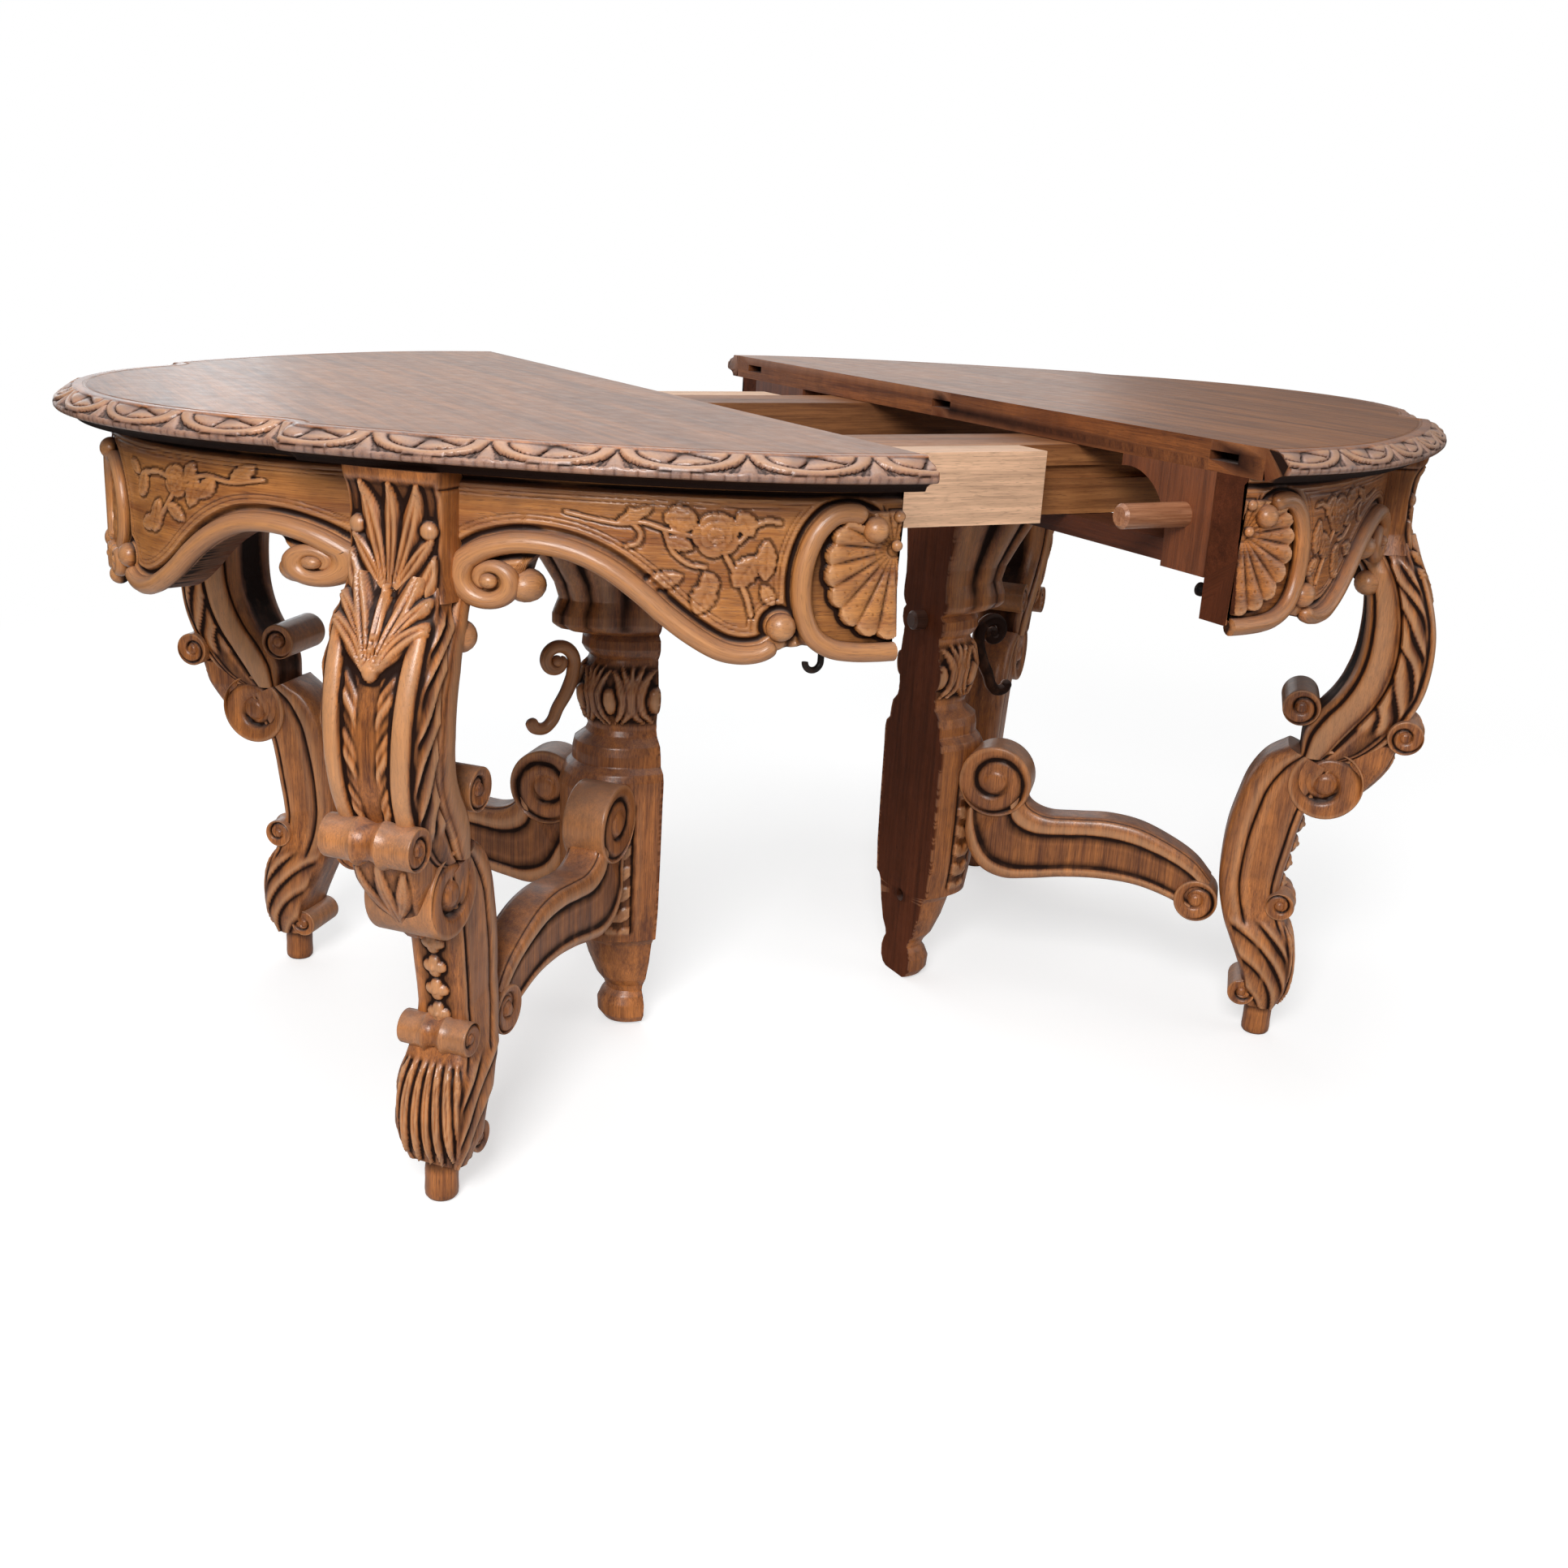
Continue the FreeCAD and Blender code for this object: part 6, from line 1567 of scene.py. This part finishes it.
class TABLE_OT_columns(bpy.types.Operator):
    """Two half columns: carved half-round sections up a profile, and a flat split face"""

    bl_idname = "table.columns"
    bl_label = "Columns"

    def execute(self, context):
        oak = bpy.data.materials["polished_carving"]
        for side in (-1, 1):
            name = half_name(side)
            carve(f"column_{name}", side, self.column(side), [oak])
            carve(f"column_scroll_{name}", side, self.handle(side), [oak])
        return {"FINISHED"}

    def column(self, side):
        table = np.array(COLUMN_SHARES)
        share = np.unique(np.concatenate([np.linspace(0, 1, 240), table[:, 0]]))[:, None]
        wide = np.interp(share, table[:, 0], table[:, 1]) * COLUMN_HALF_WIDE
        deep = np.interp(share, table[:, 0], table[:, 2]) * COLUMN_DEEP
        angle = np.linspace(-math.pi / 2, math.pi / 2, 101)[None]
        v = wide * np.sign(np.sin(angle)) * np.abs(np.sin(angle)) ** SECTION_POWER
        u = deep * np.abs(np.cos(angle)) ** SECTION_POWER + 0 * v
        height = column_relief(angle + 0 * share, share + 0 * angle)
        z = share * COLUMN_TOP + 0 * angle
        local = np.stack([u, v, z], -1)
        normal = normals(local, False)
        normal = normal * np.sign((normal * np.array([1.0, 0, 0])).sum())
        normal[..., 0] *= step(np.abs(np.cos(angle)), 0.03, 0.06)
        local = local + normal * height[..., None]
        local[..., 0] = np.clip(local[..., 0], 0, None)
        local[:, [0, -1], 0] = 0
        points = half(side, *np.moveaxis(local, -1, 0))
        front = patch(points, (z, v, u), hollow=hollows(height, 3, 0.0020))
        caps = [ring_cap(points[row], bare=1.0) for row in (0, -1)]
        return [front, *self.split_face(side, local), *caps]

    def split_face(self, side, local):
        """The flat face at the split, with a round pocket for the other column's dowel.

        It is a grid above and below the pocket. Between them rings run from the edge of the band
        that is left to the pocket's rim, then down its wall and in to its middle.
        """
        share = np.linspace(0, 1, 31)[None, :, None]
        grid = local[:, :1] * (1 - share) + local[:, -1:] * share
        high, radius = POCKETS[side]
        low, top = np.searchsorted(local[:, 0, 2], (high - 1.5 * radius, high + 1.5 * radius))
        low -= 1
        made = []
        for u, v, z in (np.moveaxis(grid[:low + 1], -1, 0), np.moveaxis(grid[top:], -1, 0)):
            made.append(patch(half(side, u, v, z), (z, v, u), bare=1.0))
        between = grid[low + 1:top]
        loop = np.concatenate([grid[low], between[:, -1], grid[top, ::-1], between[::-1, 0]])
        centre = np.array([0, 0, high])
        way = loop - centre
        rim = centre + way * radius / np.linalg.norm(way, axis=1)[:, None]
        deep = np.array([POCKET_DEEP, 0, 0])
        middle = np.broadcast_to(centre + deep, loop.shape)
        rings = np.stack([loop, loop * 0.4 + rim * 0.6, rim, rim + deep, middle])
        u, v, z = np.moveaxis(rings, -1, 0)
        # Painted shade down the pocket's wall and bottom.
        dirt_and_shade = np.array([0, 0, 0.4, 1, 1])[:, None]
        made.append(patch(half(side, u, v, z), (z, v, u), hollow=dirt_and_shade, bare=1.0, wrap=True))
        return made

    def handle(self, side):
        """The thin scroll beside the vase: a spiral, a stem and a hooked foot, as one round rod."""

        def place(a, z, out):
            return half(side, a, out, z)

        curl = spiral(HANDLE_EYE, 0.0225, 0.0050, 205, -1.2, 90)[::-1]
        stem = smooth_path((curl[-1], *HANDLE_STEM), 60)
        path = evenly(np.vstack([curl, stem[1:]]), 150)
        radius = np.interp(np.linspace(0, 1, len(path)), HANDLE_SHARES, HANDLE_RADII)
        return [tube(place, path, radius, 0.95, sides=16), ball(place, *HANDLE_EYE, 0.0070)]


# The pieces that keep their solids


# Start of the nodes' names, material, light and dark colour, grain's axis, bump, coat, roughness
# and where the grain starts.
PLAIN_WOODS = (
    ("slide_middle", "golden_slide", (176, 118, 70), (112, 66, 36), "x", 0.35, 0.05, 0.5,
     (0.0, 0.31, 0.2)),
    # The inner slides take a darker copy of the slide wood: painted shade inside the slides.
    ("slide_inner", "dark_slide", (150, 98, 58), (92, 54, 30), "x", 0.35, 0.05, 0.5,
     (0.4, 0.71, 0.0)),
    ("bracket", "bracket_oak", (126, 70, 40), (74, 38, 22), "z", 0.4, 0.12, 0.5),
    ("guide_dowel", "dowel_oak", (188, 132, 96), (126, 76, 48), "x", 0.3, 0.3, 0.35),
    ("column_dowel", "pin_oak", (96, 60, 44), (56, 32, 22), "x", 0.3, 0.2, 0.45),
    ("top_tenons", "tenon_oak", (150, 96, 56), (96, 58, 34), "x", 0.3, 0.05, 0.55),
)


class TABLE_OT_inside(bpy.types.Operator):
    """Finishes for the slides, rails, brackets, dowels, tenons and ironwork"""

    bl_idname = "table.inside"
    bl_label = "Inside"

    def execute(self, context):
        c = colours()
        pale = tuple(c.slide_pale)
        tan = tuple(channel * 0.55 for channel in pale)
        brown = tuple(c.oak_inner)
        deep = tuple(channel * 0.45 for channel in brown)
        iron = iron_material()
        kinds = {
            "slide_outer": plain_wood("pale_slide", pale, tan, "x", 0.35, 0.05, 0.5),
            "cross_rail": plain_wood("rail_oak", brown, deep, "y", 0.4, 0.05, 0.55),
            "hook": iron,
            "slide_screws": iron,
        }
        for start, name, light, dark, *finish in PLAIN_WOODS:
            kinds[start] = plain_wood(name, srgb(*light), srgb(*dark), *finish)
        for key, piece in NODES.items():
            for start, material in kinds.items():
                if key.startswith(start):
                    piece.data.materials.clear()
                    piece.data.materials.append(material)
        return {"FINISHED"}


# Light, floor and camera


# The camera was fitted to points of the two halves, seen in the photograph's 1932 by 1932 frame.
CAMERA_PLACE = (-0.970, -1.7612, 0.9213)
CAMERA_YAW_PITCH_ROLL = (26.36, 17.58, 2.66)
CAMERA_FOCAL_PX = 2093.1
CAMERA_CENTRE_PX = (874.7, 959.3)
PHOTO_PX = 1932
FLOOR_HALF = 14.0
FLOOR_FADE = (1.1, 2.6)
AIM = (0, 0, 0.45)
WHITE, SKY_BLUE = (1.0, 1.0, 1.0), (0.78, 0.92, 1.0)
# Name, place, power in watts, width and colour.
LIGHTS = (
    ("key", (-1.9, -2.5, 2.2), 104, 1.2, WHITE),
    ("sky", (-0.3, 0.4, 3.6), 46, 3.0, WHITE),
    ("fill", (2.6, -2.0, 1.3), 14, 2.0, WHITE),
    ("rear", (1.2, 3.2, 2.1), 26, 3.2, WHITE),
    ("window", (-0.7, 3.4, 1.2), 12, 1.7, SKY_BLUE),
)


class TABLE_OT_stage(bpy.types.Operator):
    """Pale floor, soft lights and the camera at the photograph's angle"""

    bl_idname = "table.stage"
    bl_label = "Stage"

    def execute(self, context):
        scene = context.scene
        for name in ("Cube", "Light", "Camera"):
            if name in bpy.data.objects:
                bpy.data.objects.remove(bpy.data.objects[name])
        self.camera(scene)
        self.floor(scene)
        self.lights(scene)
        scene.view_settings.view_transform = "Standard"
        return {"FINISHED"}

    def camera(self, scene):
        yaw, pitch, roll = (math.radians(value) for value in CAMERA_YAW_PITCH_ROLL)
        level = math.cos(pitch)
        ahead = Vector((math.sin(yaw) * level, math.cos(yaw) * level, -math.sin(pitch)))
        right = Vector((math.cos(yaw), -math.sin(yaw), 0))
        up = right.cross(ahead)
        turned = right * math.cos(roll) + up * math.sin(roll)
        raised = up * math.cos(roll) - right * math.sin(roll)
        data = bpy.data.cameras.new("photo_camera")
        data.sensor_width = 36
        data.lens = CAMERA_FOCAL_PX / PHOTO_PX * data.sensor_width
        data.shift_x = (PHOTO_PX / 2 - CAMERA_CENTRE_PX[0]) / PHOTO_PX
        data.shift_y = (CAMERA_CENTRE_PX[1] - PHOTO_PX / 2) / PHOTO_PX
        camera = bpy.data.objects.new("photo_camera", data)
        scene.collection.objects.link(camera)
        axes = Matrix((turned, raised, -ahead)).transposed()
        camera.matrix_world = Matrix.Translation(CAMERA_PLACE) @ axes.to_4x4()
        scene.camera = camera

    def floor(self, scene):
        made, tree = new_material("stage_white")
        seen = node(tree, "ShaderNodeLightPath").outputs["Is Camera Ray"]
        matt = node(tree, "ShaderNodeBsdfPrincipled", {
            "Base Color": (0.62, 0.62, 0.62, 1), "Roughness": 0.9, "Specular IOR Level": 0.1,
        })
        lift = maths(tree, "MULTIPLY", seen, 0.55)
        glow = node(tree, "ShaderNodeEmission", {"Color": (*WHITE, 1), "Strength": lift})
        both = node(tree, "ShaderNodeAddShader", {0: matt.outputs[0], 1: glow.outputs[0]})
        white = node(tree, "ShaderNodeEmission", {"Color": (*WHITE, 1), "Strength": seen})
        place = node(tree, "ShaderNodeTexCoord").outputs["Object"]
        away = node(tree, "ShaderNodeVectorMath", {0: place}, operation="LENGTH").outputs["Value"]
        fade = node(tree, "ShaderNodeMapRange", {
            "Value": away, "From Min": FLOOR_FADE[0], "From Max": FLOOR_FADE[1],
        }, interpolation_type="SMOOTHSTEP").outputs[0]
        blend = node(tree, "ShaderNodeMixShader", {
            0: fade, 1: both.outputs[0], 2: white.outputs[0],
        })
        node(tree, "ShaderNodeOutputMaterial", {0: blend.outputs[0]})
        corners = FLOOR_HALF * np.array([(-1, -1, 0), (1, -1, 0), (1, 1, 0), (-1, 1, 0)])
        mesh = bpy.data.meshes.new("stage_floor")
        mesh.from_pydata(corners.tolist(), [], [(0, 1, 2, 3)])
        mesh.materials.append(made)
        floor = bpy.data.objects.new("stage_floor", mesh)
        scene.collection.objects.link(floor)

    def lights(self, scene):
        world = bpy.data.worlds.new("stage_world")
        world.use_nodes = True
        tree = world.node_tree
        tree.nodes.clear()
        seen = node(tree, "ShaderNodeLightPath").outputs["Is Camera Ray"]
        strength = maths(tree, "MULTIPLY_ADD", seen, 0.75, 0.25)
        back = node(tree, "ShaderNodeBackground", {"Color": (*WHITE, 1), "Strength": strength})
        node(tree, "ShaderNodeOutputWorld", {0: back.outputs[0]})
        scene.world = world
        for name, spot, power, wide, colour in LIGHTS:
            data = bpy.data.lights.new(f"stage_{name}", "AREA")
            data.energy = power
            data.color = colour
            data.size = wide
            lamp = bpy.data.objects.new(f"stage_{name}", data)
            scene.collection.objects.link(lamp)
            lamp.location = spot
            aim = Vector(AIM) - Vector(spot)
            lamp.rotation_euler = aim.to_track_quat("-Z", "Y").to_euler()


class TABLE_PT_panel(bpy.types.Panel):
    bl_label = "Carved extending table"
    bl_idname = "TABLE_PT_panel"
    bl_space_type = "VIEW_3D"
    bl_region_type = "UI"
    bl_category = "Table"

    def draw(self, context):
        for group in (context.scene.table_sizes, context.scene.table_colours):
            for key in group.__annotations__:
                self.layout.prop(group, key)
        for operator in OPERATORS:
            self.layout.operator(operator.bl_idname)


OPERATORS = (
    TABLE_OT_stage,
    TABLE_OT_tops,
    TABLE_OT_aprons,
    TABLE_OT_legs,
    TABLE_OT_stretchers,
    TABLE_OT_columns,
    TABLE_OT_inside,
)
CLASSES = (TableSizes, TableColours, *OPERATORS, TABLE_PT_panel)


def register():
    for made in CLASSES:
        bpy.utils.register_class(made)
    bpy.types.Scene.table_sizes = PointerProperty(type=TableSizes)
    bpy.types.Scene.table_colours = PointerProperty(type=TableColours)


def unregister():
    del bpy.types.Scene.table_colours
    del bpy.types.Scene.table_sizes
    for made in reversed(CLASSES):
        bpy.utils.unregister_class(made)


def main():
    register()
    wood_group()
    soil_group()
    c = colours()
    carved_oak("polished_carving", c.oak_light, c.oak_dark)
    carved_oak("golden_carving", c.apron_light, c.apron_dark)
    plain_wood("polished_top", srgb(158, 100, 54), srgb(100, 58, 30), "y", 0.25, 0.14, 0.40)
    bpy.ops.table.stage()
    bpy.ops.table.tops()
    bpy.ops.table.aprons()
    bpy.ops.table.legs()
    bpy.ops.table.stretchers()
    bpy.ops.table.columns()
    bpy.ops.table.inside()


if __name__ == "__main__":
    main()
